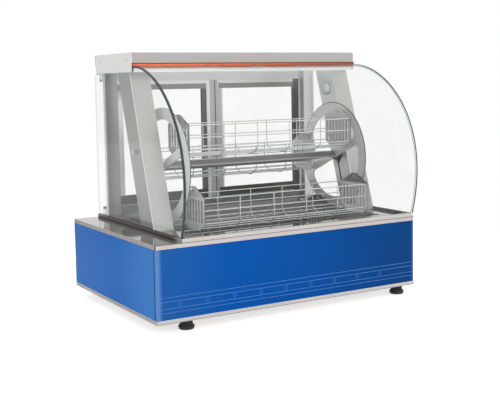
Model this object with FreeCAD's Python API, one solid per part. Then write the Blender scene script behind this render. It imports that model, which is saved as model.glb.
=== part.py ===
import FreeCAD, Part
import math
import os

# Heated display case for roast chickens: a painted base with a deep well, a glazed hood with a
# bowed front pane, and a motor-driven rotor that carries four hanging wire baskets past the glass.
# Millimetres. X runs left to right, Y front to back and Z up, from the floor under the feet.
# Every solid is drawn from the base's front left corner and then centred by export().

os.makedirs("parts", exist_ok=True)
Vector = FreeCAD.Vector

# ---------------------------------------------------------------- base
WIDTH = 1000.0
SERVICE_DEPTH = 78.0
FOOT_HEIGHT = 35.0
RAIL_HEIGHT = 12.5
PANEL_HEIGHT = 216.5
TOP_EDGE_HEIGHT = 14.0
RIM_HEIGHT = 12.0
SHELF_WIDTH = 90.0
STEEL = 1.5
PANEL_SHEET = 2.0
PANEL_GAP = 1.2
PANEL_RETURN = 12.0
RETURN_CLEAR = 1.0
ANGLE_LEG = 24.0
FOOT_RADIUS = 25.5
FOOT_NECK_RADIUS = 20.0
FOOT_DISC_HEIGHT = 11.0
FOOT_NECK_HEIGHT = 17.0
FOOT_LEFT_INSET = 120.0
FOOT_RIGHT_INSET = 42.0
FOOT_DEPTH_INSET = 45.0
RIM_INSET = 0.8
RIM_CORNER = 4.0
WORKTOP_CORNER = 3.0
CURB_FRONT = 12.0
BRIDGE_LEAD = 3.0

# ---------------------------------------------------------------- glazing and hood
FRONT_GLASS = 6.0
SIDE_GLASS = 5.0
SEAL = 0.5
GLASS_SEAT = 4.4
GLASS_BELLY_HANDLE = 358.0
GLASS_BELLY_ANGLE = 17.9
GLASS_CROWN_HANDLE = 187.0
GLASS_CROWN_RISE = 8.5
GLASS_REAR_INSET = 8.0
HOOD_FRONT = 344.0
HOOD_REAR_INSET = 26.0
HOOD_LIP = 7.0
HOOD_CLEAR_HEIGHT = 509.0
HOOD_BOX_HEIGHT = 65.0
HOOD_FACE_HEIGHT = 35.0
TRIM_DEPTH = 6.0
TRIM_HEIGHT = 17.0
TRIM_SLOT_DEPTH = 4.0
FIXING_RADIUS = 7.0
FIXING_HEAD = 3.5
FIXING_DROP = 10.0
PANE_CLEAR = 4.0
LINER_CLEAR = 4.0
HOOD_EDGE = 3.0
HOOD_INNER_EDGE = 4.0
HOOD_END_CORNER = 9.0
HOOD_LIP_DROP = 2.0
TRIM_EDGE = 2.0
TRIM_SLOT_PLAY = 0.4

# ---------------------------------------------------------------- leaning posts and rear posts
POST_WIDTH = 72.0
POST_DEPTH = 98.0
POST_FOOT_LEAD = 128.0
POST_HEAD_LAG = 34.0
POST_SHEET = 2.0
POST_CLEAR = 0.3
POST_TOE = 5.0
SLOT_WIDTH = 9.0
THROAT_REACH = 40.0
THROAT_DROP = 34.0
THROAT_RISE = 6.0
SLOT_RISE = 12.0
HUB_CLEAR = 0.6
LAMP_RADIUS = 24.0
LAMP_BULGE = 17.0
LAMP_FLANGE = 3.0
LAMP_FLANGE_RIM = 2.0
LAMP_DROP = 68.0
REAR_POST_WIDTH = 48.0
POST_OVER_WELL = 12.0
REAR_POST_DEPTH = 18.0
GROOVE_INSET = 8.0
GROOVE_WIDTH = 14.0
GROOVE_DEPTH = 1.2

# ---------------------------------------------------------------- rotor
ROTOR_FRONT = 348.0
ROTOR_RISE = 191.0
WHEEL_RADIUS = 198.0
RING_WIDTH = 40.0
WHEEL_SHEET = 3.0
DRIVE_GAP = 30.0
BEARING_GAP = 14.0
PIVOT_RADIUS = 177.0
BASKETS = 4
ROTOR_TILT = 23.0
SPOKE_WIDTH = 30.0
MOON_CORNER = 20.0
BAR_SIDE = 28.0
BAR_CORNER = 5.0
BAR_PLUG = 12.0
JOURNAL_RADIUS = 8.0
HUB_WALL = 6.0
JOURNAL_IN_DRIVE = 24.0
JOURNAL_IN_BEARING = 16.0
GEARBOX_WIDTH = 30.0
GEARBOX_DEPTH = 58.0
GEARBOX_HEIGHT = 62.0
MOTOR_RADIUS = 24.0
MOTOR_LENGTH = 84.0
DRIVE_NOSE = 3.0
BEARING_FLANGE = 3.0
BEARING_FLANGE_RIM = 8.0
BEARING_LENGTH = 18.0
RUNNING_FIT = 0.08
PIN_RADIUS = 4.0
PIN_SPACER_RADIUS = 7.0
PIN_SHOULDER = 0.5
PIN_END = 3.0

# ---------------------------------------------------------------- baskets
BASKET_GAP = 23.0
BASKET_WIDTH = 156.0
BASKET_FLOOR_WIDTH = 88.0
BASKET_SHEET = 2.0
APEX_RISE = 11.0
APEX_HALF_WIDTH = 12.0
SHOULDER_DROP = 22.0
CHAMFER_DROP = 108.0
BASKET_DROP = 132.0
PLATE_SLOTS = 7
PLATE_SLOT_WIDTH = 8.0
PLATE_SLOT_PITCH = 19.5
PLATE_SLOT_HEAD = 10.0
PLATE_SLOT_HEEL = 2.0
WIRE = 3.4
HOOPS = 5
SIDE_WIRES = (0.02, 0.34, 0.86)
FOLD_WIRES = (0.5,)
FLOOR_WIRES = (0.1, 0.5, 0.9)

# ---------------------------------------------------------------- well
WELL_FRONT = 88.0
SWING_CLEAR = 9.0
WELL_POST_GAP = 3.0
WELL_FLANGE = 13.0
WELL_SUMP = 12.0
WELL_STEP = 16.0
TRAY_CLEAR = 10.0
TRAY_DEPTH = 22.0
TRAY_PLAY = 1.5
TRAY_CORNER = 12.0
HEATER_SIDE = 8.0
HEATER_BEND = 68.0
HEATER_CLEAR = 6.0
HEATER_TAIL = 14.0
HEATER_END_GAP = 24.0

# ---------------------------------------------------------------- rear doors
DOOR_THICKNESS = 12.0
DOOR_GAP = 3.0
DOOR_POST_GAP = 4.0
DOOR_MEETING_STILE = 68.0
DOOR_OUTER_STILE = 42.0
DOOR_HIGH_RAIL = 38.0
DOOR_LOW_RAIL = 44.0
DOOR_TUCK = 14.0
DOOR_REST = 0.3
DOOR_HEAD_GAP = 2.0
DOOR_GLASS = 4.0
DOOR_REBATE = 7.0
DOOR_REBATE_PLAY = 0.5
DOOR_GLASS_PLAY = 0.4
DOOR_OVERLAP = 37.4
DOOR_PLAY = 0.5
PULL_WIDTH = 16.0
PULL_HEIGHT = 180.0
PULL_DEPTH = 3.5
PULL_INSET = 8.0
TRACK_HEIGHT = 29.0
TRACK_LIP = 8.0
TRACK_WALL = 2.0

# ---------------------------------------------------------------- controls on the rear panel
CONTROL_RIGHT_INSET = 120.0
CONTROL_PITCH = 62.0
CONTROL_RISE = 119.0
KNOB_RADIUS = 19.0
KNOB_LENGTH = 18.0
KNOB_GAP = 1.0
KNOB_SKIRT = 5.0
KNOB_WING = 8.0
KNOB_WING_INSET = 2.0
KNOB_SHAFT_RADIUS = 3.0
KNOB_SHAFT_REACH = 10.0
THERMOSTAT_WIDTH = 44.0
THERMOSTAT_HEIGHT = 40.0
THERMOSTAT_DEPTH = 26.0
THERMOSTAT_BORE = 12.0
SWITCH_WIDTH = 22.0
SWITCH_HEIGHT = 30.0
SWITCH_LIP = 2.0
SWITCH_LIP_HEIGHT = 1.5
SWITCH_FIT = 0.3
SWITCH_WALL = 2.0
SWITCH_DEPTH = 22.0
SWITCH_POCKET = 12.0
ROCKER_CLEAR = 0.5
ROCKER_END_CLEAR = 1.5
ROCKER_AXIS_DEPTH = 4.0
ROCKER_CROWN = 4.5
ROCKER_SHOULDER = 3.0
ROCKER_SKIRT = 1.0
ROCKER_KEEL = 5.0
ROCKER_TILT = 7.0
PILOT_RADIUS = 6.0
PILOT_BEZEL = 1.5
PILOT_BEZEL_HEIGHT = 2.0
PILOT_LENS_HEIGHT = 4.0
GLAND_RADIUS = 11.0
GLAND_HEAD = 14.0
GLAND_THREAD_RADIUS = 7.8
GLAND_THREAD_LENGTH = 8.0
GLAND_FIT = 0.2
GLAND_BORE_RADIUS = 4.5
GLAND_LEFT_INSET = 70.0
GLAND_RISE = 40.0
LOUVRES = 5
LOUVRE_INSET = 440.0
LOUVRE_LENGTH = 150.0
LOUVRE_PITCH = 15.0
LOUVRE_SLOT = 5.0
LOUVRE_RISE = 50.0
LOUVRE_BREAK = 40.0

# ---------------------------------------------------------------- levels and lines worked out from these
WELL_REAR = ROTOR_FRONT + PIVOT_RADIUS + BASKET_WIDTH / 2.0 + SWING_CLEAR
DEPTH = WELL_REAR + SERVICE_DEPTH
GLASS_REAR = DEPTH - GLASS_REAR_INSET
HOOD_REAR = DEPTH - HOOD_REAR_INSET
REAR_POST_FRONT = WELL_REAR - POST_OVER_WELL
Z_BASE = FOOT_HEIGHT
Z_PANEL = Z_BASE + RAIL_HEIGHT
Z_TOP = Z_PANEL + PANEL_HEIGHT
Z_DECK = Z_TOP + TOP_EDGE_HEIGHT
Z_RIM = Z_DECK + RIM_HEIGHT
Z_FLOOR = Z_DECK + 2.0 * STEEL
Z_HOOD = Z_RIM + HOOD_CLEAR_HEIGHT
Z_CROWN = Z_HOOD + HOOD_BOX_HEIGHT
Z_FACE = Z_CROWN - HOOD_FACE_HEIGHT
Z_TRIM = Z_FACE - TRIM_HEIGHT
CASE_LEFT = SHELF_WIDTH
CASE_RIGHT = WIDTH
PANE_LEFT = CASE_LEFT + STEEL
PANE_RIGHT = CASE_RIGHT - STEEL
INSIDE_LEFT = PANE_LEFT + SIDE_GLASS
INSIDE_RIGHT = PANE_RIGHT - SIDE_GLASS
POST_LEFT_X = INSIDE_LEFT + POST_CLEAR
POST_RIGHT_X = INSIDE_RIGHT - POST_CLEAR - POST_WIDTH
WHEEL_LEFT_X = POST_LEFT_X + POST_WIDTH + DRIVE_GAP
WHEEL_RIGHT_X = POST_RIGHT_X - BEARING_GAP - WHEEL_SHEET
ROTOR_Z = Z_RIM + ROTOR_RISE
PLATE_LEFT_X = WHEEL_LEFT_X + WHEEL_SHEET + BASKET_GAP
PLATE_RIGHT_X = WHEEL_RIGHT_X - BASKET_GAP - BASKET_SHEET
WELL_LEFT = POST_LEFT_X + POST_WIDTH + WELL_POST_GAP
WELL_RIGHT = POST_RIGHT_X - WELL_POST_GAP
Z_LEDGE = ROTOR_Z - PIVOT_RADIUS - BASKET_DROP - TRAY_CLEAR - STEEL
Z_TRAY = Z_LEDGE - TRAY_DEPTH
Z_HEATER = Z_TRAY - HEATER_CLEAR - HEATER_SIDE
Z_WELL = Z_HEATER - WELL_SUMP
POST_FOOT = ROTOR_FRONT - POST_FOOT_LEAD
POST_HEAD = ROTOR_FRONT + POST_HEAD_LAG
LEAN = math.atan2(POST_HEAD - POST_FOOT, Z_HOOD - Z_RIM)
DOOR_FRONT = REAR_POST_FRONT + REAR_POST_DEPTH + DOOR_POST_GAP
TRACK_REAR = DOOR_FRONT + 2.0 * DOOR_THICKNESS + DOOR_GAP
REACH_BACK = DEPTH + KNOB_LENGTH
REACH_RIGHT = PANE_RIGHT + FIXING_HEAD


# ---------------------------------------------------------------- small helpers
def block(x0, x1, y0, y1, z0, z1):
    return Part.makeBox(x1 - x0, y1 - y0, z1 - z0, Vector(x0, y0, z0))


def rod_x(x0, x1, y, z, radius):
    return Part.makeCylinder(radius, x1 - x0, Vector(x0, y, z), Vector(1, 0, 0))


def rod_y(x, y0, y1, z, radius):
    return Part.makeCylinder(radius, y1 - y0, Vector(x, y0, z), Vector(0, 1, 0))


def rod_z(x, y, z0, z1, radius):
    return Part.makeCylinder(radius, z1 - z0, Vector(x, y, z0), Vector(0, 0, 1))


def side_face(points, x):
    corners = [Vector(x, y, z) for y, z in points]
    return Part.Face(Part.makePolygon(corners + [corners[0]]))


def prism_x(points, x0, x1):
    return side_face(points, x0).extrude(Vector(x1 - x0, 0, 0))


def round_edges_along(shape, direction, radius):
    edges = []
    for edge in shape.Edges:
        if edge.Curve.TypeId != "Part::GeomLine":
            continue
        aligned = abs(edge.tangentAt(edge.FirstParameter).dot(direction)) > 0.999
        if aligned:
            edges.append(edge)
    return shape.makeFillet(radius, edges)


def hexagon(u, v, radius):
    """Corners of a regular hexagon about a point of the YZ or XZ plane."""
    angles = [math.radians(60.0 * index) for index in range(6)]
    return [(u + radius * math.cos(angle), v + radius * math.sin(angle)) for angle in angles]


def mirrored(shape, x_plane):
    return shape.mirror(Vector(x_plane, 0, 0), Vector(1, 0, 0))


def export(name, shapes):
    shape = shapes if not isinstance(shapes, list) else Part.makeCompound(shapes)
    front = glass_front_reach()
    shape = shape.copy()
    shape.translate(Vector(-REACH_RIGHT / 2.0, -(front + REACH_BACK) / 2.0, 0))
    shape.exportStep("parts/" + name + ".step")


# ---------------------------------------------------------------- base
def base_pan():
    outer = block(0, WIDTH, 0, DEPTH, Z_BASE, Z_PANEL)
    inner = block(STEEL, WIDTH - STEEL, STEEL, DEPTH - STEEL, Z_BASE + STEEL, Z_PANEL + 1)
    return outer.cut(inner)


def foot_places():
    xs = (FOOT_LEFT_INSET, WIDTH - FOOT_RIGHT_INSET)
    ys = (FOOT_DEPTH_INSET, DEPTH - FOOT_DEPTH_INSET)
    return [(x, y) for y in ys for x in xs]


def foot(x, y):
    outline = [
        (0, 0), (FOOT_RADIUS, 0), (FOOT_RADIUS, FOOT_DISC_HEIGHT), (FOOT_NECK_RADIUS, FOOT_NECK_HEIGHT),
        (FOOT_NECK_RADIUS, FOOT_HEIGHT), (0, FOOT_HEIGHT),
    ]
    corners = [Vector(x + r, y, z) for r, z in outline]
    face = Part.Face(Part.makePolygon(corners + [corners[0]]))
    return face.revolve(Vector(x, y, 0), Vector(0, 0, 1), 360)


def wall_panel(length):
    """A flat sheet with top and bottom returns, drawn along X with its face at Y = 0."""
    z0 = Z_PANEL
    z1 = Z_TOP - SEAL
    inner = ANGLE_LEG + PANEL_SHEET + RETURN_CLEAR
    sheet = block(0, length, 0, PANEL_SHEET, z0, z1)
    low = block(inner, length - inner, 0, PANEL_RETURN, z0, z0 + PANEL_SHEET)
    high = block(inner, length - inner, 0, PANEL_RETURN, z1 - PANEL_SHEET, z1)
    return sheet.fuse([low, high]).removeSplitter()


def side_panel():
    panel = wall_panel(DEPTH - 2 * (PANEL_SHEET + PANEL_GAP))
    panel.rotate(Vector(0, 0, 0), Vector(0, 0, 1), -90)
    panel.translate(Vector(0, DEPTH - PANEL_SHEET - PANEL_GAP, 0))
    return panel


def rear_panel():
    panel = wall_panel(WIDTH)
    panel.rotate(Vector(0, 0, 0), Vector(0, 0, 1), 180)
    panel.translate(Vector(WIDTH, DEPTH, 0))
    y0 = DEPTH - PANEL_SHEET - 1
    y1 = DEPTH + 1
    for row in range(LOUVRES):
        z = Z_PANEL + LOUVRE_RISE + row * LOUVRE_PITCH
        for x in (LOUVRE_INSET, LOUVRE_INSET + LOUVRE_LENGTH + LOUVRE_BREAK):
            slot = block(x, x + LOUVRE_LENGTH, y0, y1, z, z + LOUVRE_SLOT)
            panel = panel.cut(slot)
    for x in switch_places():
        panel = panel.cut(switch_box(x, y0, y1, 0))
    panel = panel.cut(rod_y(knob_x(), y0, y1, control_z(), KNOB_SHAFT_RADIUS + RUNNING_FIT))
    panel = panel.cut(rod_y(gland_x(), y0, y1, gland_z(), GLAND_THREAD_RADIUS + GLAND_FIT))
    return panel


def corner_angles():
    z0 = Z_BASE + STEEL
    z1 = Z_DECK - STEEL
    near = PANEL_SHEET
    angles = []
    for left in (True, False):
        for front in (True, False):
            x0 = near if left else WIDTH - near - ANGLE_LEG
            y0 = near if front else DEPTH - near - ANGLE_LEG
            outer = block(x0, x0 + ANGLE_LEG, y0, y0 + ANGLE_LEG, z0, z1)
            dx = STEEL if left else -STEEL
            dy = STEEL if front else -STEEL
            inner = outer.translated(Vector(dx, dy, 0))
            angles.append(outer.cut(inner))
    return angles


def worktop():
    outer = block(0, WIDTH, 0, DEPTH, Z_TOP, Z_DECK)
    inner = block(STEEL, WIDTH - STEEL, STEEL, DEPTH - STEEL, Z_TOP - 1, Z_DECK - STEEL)
    hole = block(WELL_LEFT - STEEL - SEAL, WELL_RIGHT + STEEL + SEAL,
                 WELL_FRONT - STEEL - SEAL, WELL_REAR + STEEL + SEAL, Z_TOP, Z_DECK + 1)
    top = round_edges_along(outer, Vector(0, 0, 1), WORKTOP_CORNER)
    return top.cut(inner).cut(hole)


def rim_frame():
    """A curb that the panes stand on, round a sunk floor, with a raised bridge behind for the doors."""
    x0 = CASE_LEFT
    x1 = CASE_RIGHT - RIM_INSET
    y0 = RIM_INSET
    y1 = DEPTH - RIM_INSET
    bridge = REAR_POST_FRONT - BRIDGE_LEAD
    outer = block(x0, x1, y0, y1, Z_DECK, Z_RIM)
    frame = round_edges_along(outer, Vector(0, 0, 1), RIM_CORNER)
    under = block(x0 + STEEL, x1 - STEEL, y0 + STEEL, y1 - STEEL, Z_DECK - 1, Z_DECK + STEEL)
    bridge_under = block(x0 + STEEL, x1 - STEEL, bridge + STEEL, y1 - STEEL, Z_DECK, Z_RIM - STEEL)
    sleeve = block(WELL_LEFT - STEEL, WELL_RIGHT + STEEL, bridge, WELL_REAR + STEEL, Z_DECK + STEEL, Z_RIM)
    floor = block(INSIDE_LEFT, INSIDE_RIGHT, CURB_FRONT, bridge, Z_FLOOR, Z_RIM + 1)
    well = block(WELL_LEFT, WELL_RIGHT, WELL_FRONT, WELL_REAR, Z_DECK - 1, Z_RIM + 1)
    return frame.cut(under).cut(bridge_under).fuse(sleeve).cut(floor).cut(well)


def well_tub():
    """A stepped pan: the drip tray hangs on the step and the heaters lie below it."""
    upper = (WELL_LEFT, WELL_RIGHT, WELL_FRONT, WELL_REAR)
    lower = (WELL_LEFT + WELL_STEP, WELL_RIGHT - WELL_STEP, WELL_FRONT + WELL_STEP, WELL_REAR - WELL_STEP)
    skin = block(upper[0] - STEEL, upper[1] + STEEL, upper[2] - STEEL, upper[3] + STEEL,
                 Z_LEDGE - STEEL, Z_DECK + STEEL)
    foot_box = block(lower[0] - STEEL, lower[1] + STEEL, lower[2] - STEEL, lower[3] + STEEL,
                     Z_WELL - STEEL, Z_LEDGE)
    flange = block(upper[0] - WELL_FLANGE, upper[1] + WELL_FLANGE, upper[2] - WELL_FLANGE,
                   upper[3] + WELL_FLANGE, Z_DECK, Z_DECK + STEEL)
    tub = skin.fuse([foot_box, flange])
    tub = tub.cut(block(*upper, Z_LEDGE, Z_DECK + STEEL + 1))
    tub = tub.cut(block(*lower, Z_WELL, Z_LEDGE + 1))
    top = Z_HEATER + HEATER_SIDE
    for y in heater_legs():
        tub = tub.cut(block(lower[0] - STEEL - 1, lower[0] + 1, y, y + HEATER_SIDE, Z_HEATER, top))
    return tub.removeSplitter()


def drip_tray():
    x0 = WELL_LEFT + TRAY_PLAY
    x1 = WELL_RIGHT - TRAY_PLAY
    y0 = WELL_FRONT + TRAY_PLAY
    y1 = WELL_REAR - TRAY_PLAY
    inset = WELL_STEP + TRAY_PLAY
    flange = block(x0, x1, y0, y1, Z_LEDGE, Z_LEDGE + STEEL)
    bowl = block(x0 + inset, x1 - inset, y0 + inset, y1 - inset, Z_TRAY, Z_LEDGE + STEEL)
    bowl = round_edges_along(bowl, Vector(0, 0, 1), TRAY_CORNER)
    inner = block(x0 + inset + STEEL, x1 - inset - STEEL, y0 + inset + STEEL, y1 - inset - STEEL,
                  Z_TRAY + STEEL, Z_LEDGE + STEEL + 1)
    inner = round_edges_along(inner, Vector(0, 0, 1), TRAY_CORNER - STEEL)
    return flange.fuse(bowl).cut(inner)


def heater_legs():
    """Front faces of the elements' four legs: two pairs, evenly set about the well's middle."""
    middle = (WELL_FRONT + WELL_REAR - HEATER_SIDE) / 2.0
    return [middle + HEATER_BEND * (index - 1.5) for index in range(4)]


def heaters():
    """Two flat-sheathed hairpins whose terminals leave through the left wall of the well."""
    wall = WELL_LEFT + WELL_STEP
    x0 = wall - HEATER_TAIL
    x1 = WELL_RIGHT - WELL_STEP - HEATER_END_GAP
    top = Z_HEATER + HEATER_SIDE
    legs = heater_legs()
    elements = []
    for near, far in (legs[:2], legs[2:]):
        outer = block(x0, x1, near, far + HEATER_SIDE, Z_HEATER, top)
        inner = block(x0 - 1, x1 - HEATER_SIDE, near + HEATER_SIDE, far, Z_HEATER - 1, top + 1)
        elements.append(outer.cut(inner))
    return elements


# ---------------------------------------------------------------- glazing
def glass_poles():
    """Four poles of the bowed pane's outer face, from its seat on the rim to the trim's slot."""
    angle = math.radians(GLASS_BELLY_ANGLE)
    seat = (GLASS_SEAT, Z_RIM)
    crown = (HOOD_FRONT - TRIM_DEPTH + TRIM_SLOT_DEPTH - SEAL, Z_TRIM + GLASS_CROWN_RISE)
    belly = (seat[0] - GLASS_BELLY_HANDLE * math.sin(angle), seat[1] + GLASS_BELLY_HANDLE * math.cos(angle))
    brow = (crown[0] - GLASS_CROWN_HANDLE, crown[1])
    return seat, belly, brow, crown


def glass_point(t, offset):
    """A point of the pane's section at parameter t, moved inward by offset."""
    poles = glass_poles()
    weights = ((1 - t) ** 3, 3 * t * (1 - t) ** 2, 3 * t * t * (1 - t), t ** 3)
    slopes = ((1 - t) ** 2, 2 * t * (1 - t), t * t)
    y = sum(w * p[0] for w, p in zip(weights, poles))
    z = sum(w * p[1] for w, p in zip(weights, poles))
    dy = sum(s * (poles[i + 1][0] - poles[i][0]) for i, s in enumerate(slopes))
    dz = sum(s * (poles[i + 1][1] - poles[i][1]) for i, s in enumerate(slopes))
    length = math.hypot(dy, dz)
    return y + offset * dz / length, z - offset * dy / length


def glass_front_reach():
    return min(glass_point(step / 400.0, 0.0)[0] for step in range(401))


def glass_edge(x, offset, first=0.0, last=1.0, steps=10):
    points = []
    for step in range(steps + 1):
        y, z = glass_point(first + (last - first) * step / steps, offset)
        points.append(Vector(x, y, z))
    curve = Part.BSplineCurve()
    curve.interpolate(points)
    return curve.toShape()


def trimmed_pane(edges, x0, x1):
    face = Part.Face(Part.Wire(Part.__sortEdges__(edges)))
    return face.extrude(Vector(x1 - x0, 0, 0))


def front_glass():
    x = CASE_LEFT
    outer = glass_edge(x, 0.0)
    inner = glass_edge(x, FRONT_GLASS)
    foot_line = Part.makeLine(outer.Vertexes[0].Point, inner.Vertexes[0].Point)
    head_line = Part.makeLine(outer.Vertexes[-1].Point, inner.Vertexes[-1].Point)
    pane = trimmed_pane([outer, head_line, inner, foot_line], CASE_LEFT, CASE_RIGHT)
    below = block(CASE_LEFT - 1, CASE_RIGHT + 1, -200, 200, Z_RIM - 50, Z_RIM)
    return pane.cut(below)


def side_glass():
    """The left pane, whose front edge follows the bowed pane and whose head hides in the hood."""
    x = PANE_LEFT
    last = 1.0 - (TRIM_SLOT_DEPTH + 1.0) / (3.0 * GLASS_CROWN_HANDLE)
    curve = glass_edge(x, FRONT_GLASS + SEAL, 0.0, last)
    start = curve.Vertexes[0].Point
    end = curve.Vertexes[-1].Point
    behind = HOOD_FRONT + STEEL + SEAL
    head = Z_FACE - PANE_CLEAR
    shoulder = Z_HOOD - PANE_CLEAR
    rear = HOOD_REAR - PANE_CLEAR
    low = start.z - 5.0
    outline = [
        (end.y, Z_TRIM - SEAL), (behind, Z_TRIM - SEAL), (behind, head), (rear, head),
        (rear, shoulder), (GLASS_REAR, shoulder), (GLASS_REAR, low), (start.y, low),
    ]
    corners = [end] + [Vector(x, y, z) for y, z in outline] + [start]
    edges = [curve] + [Part.makeLine(a, b) for a, b in zip(corners, corners[1:])]
    pane = trimmed_pane(edges, x, x + SIDE_GLASS)
    return pane.cut(block(x - 1, x + SIDE_GLASS + 1, -200, DEPTH + 50, Z_RIM - 60, Z_RIM))


def fixing_place():
    z = (Z_RIM + Z_HOOD) / 2.0 - FIXING_DROP
    return post_front(z) + POST_DEPTH / 2.0, z


def glass_fixings():
    """A button each side, where the side pane is bonded to the leaning post."""
    y, z = fixing_place()
    left = rod_x(PANE_LEFT - FIXING_HEAD, PANE_LEFT, y, z, FIXING_RADIUS)
    return [left, mirrored(left, (CASE_LEFT + CASE_RIGHT) / 2.0)]


# ---------------------------------------------------------------- hood
def hood_shell():
    y0 = HOOD_FRONT
    y1 = HOOD_REAR + HOOD_LIP
    z_lip = Z_FACE - HOOD_LIP_DROP
    section = [
        (y0, Z_FACE), (y0, Z_CROWN - HOOD_EDGE), (y0 + HOOD_EDGE, Z_CROWN), (y1, Z_CROWN), (y1, z_lip),
        (y1 - STEEL, z_lip), (y1 - STEEL, Z_CROWN - STEEL), (y0 + HOOD_INNER_EDGE, Z_CROWN - STEEL),
        (y0 + STEEL, Z_CROWN - HOOD_INNER_EDGE), (y0 + STEEL, Z_FACE),
    ]
    return prism_x(section, CASE_LEFT + STEEL, CASE_RIGHT - STEEL)


def hood_liner():
    """The underside of the hood, with a white front upstand below the trim."""
    y0 = HOOD_FRONT
    y1 = HOOD_REAR - LINER_CLEAR
    high = Z_FACE
    section = [
        (y0, high), (y0, Z_HOOD), (y1, Z_HOOD), (y1, high), (y1 - STEEL, high),
        (y1 - STEEL, Z_HOOD + STEEL), (y0 + STEEL, Z_HOOD + STEEL), (y0 + STEEL, high),
    ]
    return prism_x(section, INSIDE_LEFT + POST_CLEAR, INSIDE_RIGHT - POST_CLEAR)


def hood_end():
    plate = block(CASE_LEFT, CASE_LEFT + STEEL, HOOD_FRONT, HOOD_REAR, Z_HOOD, Z_CROWN)
    return round_edges_along(plate, Vector(1, 0, 0), HOOD_END_CORNER)


def trim_strip():
    """A clamp profile across the hood: the bowed pane's top edge sits in its slot."""
    y0 = HOOD_FRONT - TRIM_DEPTH
    y1 = HOOD_FRONT
    z0 = Z_TRIM
    z1 = Z_FACE
    edge = TRIM_EDGE
    section = [(y0 + edge, z0), (y0, z0 + edge), (y0, z1 - edge), (y0 + edge, z1), (y1, z1), (y1, z0)]
    strip = prism_x(section, CASE_LEFT, CASE_RIGHT)
    crown = glass_poles()[3]
    slot = block(CASE_LEFT - 1, CASE_RIGHT + 1, y0 - 1, crown[0] + SEAL,
                 crown[1] - FRONT_GLASS - TRIM_SLOT_PLAY, crown[1] + TRIM_SLOT_PLAY)
    return strip.cut(slot)


# ---------------------------------------------------------------- posts
def post_front(z):
    return POST_FOOT + (z - Z_RIM) * math.tan(LEAN)


def leaning(z0, z1, from_front, to_front):
    """Corners of a slab that leans with the posts, between two distances behind their front face."""
    return [
        (post_front(z0) + from_front, z0), (post_front(z0) + to_front, z0),
        (post_front(z1) + to_front, z1), (post_front(z1) + from_front, z1),
    ]


def post():
    """The left post: a folded channel with a shaft hole and a slot, open behind, on a turned-out toe."""
    x0 = POST_LEFT_X
    x1 = x0 + POST_WIDTH
    skin = POST_SHEET
    outer = prism_x(leaning(Z_FLOOR, Z_HOOD, 0, POST_DEPTH), x0, x1)
    hollow = leaning(Z_FLOOR - 5, Z_HOOD + 5, skin / math.cos(LEAN), POST_DEPTH + 5)
    inner = prism_x(hollow, x0 + skin, x1 - skin)
    heel = post_front(Z_FLOOR)
    toe = block(x0, x1, heel - POST_TOE, heel + skin, Z_FLOOR, Z_FLOOR + skin)
    channel = outer.cut(inner).fuse(toe)
    hub = rod_x(x1 - skin - 1, x1 + 1, ROTOR_FRONT, ROTOR_Z, hub_radius() + HUB_CLEAR)
    slot_front = ROTOR_FRONT - post_front(ROTOR_Z) - SLOT_WIDTH / 2.0
    slot_line = leaning(Z_RIM + SLOT_RISE, ROTOR_Z, slot_front, slot_front + SLOT_WIDTH)
    slot = prism_x(slot_line, x1 - skin - 1, x1 + 1)
    throat_z = ROTOR_Z - THROAT_DROP
    throat_top = ROTOR_Z + THROAT_RISE
    throat_line = [
        (ROTOR_FRONT - THROAT_REACH, throat_top), (ROTOR_FRONT, throat_top),
        (post_front(throat_z) + slot_front + SLOT_WIDTH, throat_z),
        (post_front(throat_z) + slot_front, throat_z),
    ]
    throat = prism_x(throat_line, x1 - skin - 1, x1 + 1)
    return channel.cut(hub).cut(slot).cut(throat)


def post_cover():
    skin = POST_SHEET / math.cos(LEAN)
    gap = POST_CLEAR
    x0 = POST_LEFT_X + POST_SHEET + gap
    x1 = POST_LEFT_X + POST_WIDTH - POST_SHEET - gap
    plate = prism_x(leaning(Z_FLOOR, Z_HOOD, POST_DEPTH - skin, POST_DEPTH), x0, x1)
    return plate


def rear_post():
    """A folded upright beside the doors, with a groove that takes the side pane's seal."""
    x0 = POST_LEFT_X
    x1 = x0 + REAR_POST_WIDTH
    y0 = REAR_POST_FRONT
    y1 = y0 + REAR_POST_DEPTH
    outer = block(x0, x1, y0, y1, Z_RIM, Z_HOOD)
    inner = block(x0 + POST_SHEET, x1 - POST_SHEET, y0 + POST_SHEET, y1 + 1, Z_RIM - 1, Z_HOOD + 1)
    groove = block(x0 + GROOVE_INSET, x0 + GROOVE_INSET + GROOVE_WIDTH, y0 - 1, y0 + GROOVE_DEPTH,
                   Z_RIM - 1, Z_HOOD + 1)
    return outer.cut(inner).cut(groove)


def lamp_place():
    z = Z_HOOD - LAMP_DROP
    return post_front(z) + POST_DEPTH / 2.0, z


def lamp_holder():
    y, z = lamp_place()
    x0 = POST_LEFT_X + POST_WIDTH
    return rod_x(x0, x0 + LAMP_FLANGE, y, z, LAMP_RADIUS + LAMP_FLANGE_RIM)


def lamp_dome():
    """A low domed lens on its flange."""
    y, z = lamp_place()
    x0 = POST_LEFT_X + POST_WIDTH + LAMP_FLANGE
    ball = (LAMP_RADIUS * LAMP_RADIUS + LAMP_BULGE * LAMP_BULGE) / (2 * LAMP_BULGE)
    dome = Part.makeSphere(ball, Vector(x0 + LAMP_BULGE - ball, y, z))
    return dome.common(rod_x(x0, x0 + LAMP_BULGE + 1, y, z, LAMP_RADIUS))


# ---------------------------------------------------------------- rotor
def hub_radius():
    return JOURNAL_RADIUS + HUB_WALL


def turned(shape):
    shape = shape.copy()
    shape.rotate(Vector(0, ROTOR_FRONT, ROTOR_Z), Vector(1, 0, 0), -ROTOR_TILT)
    return shape


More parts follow.
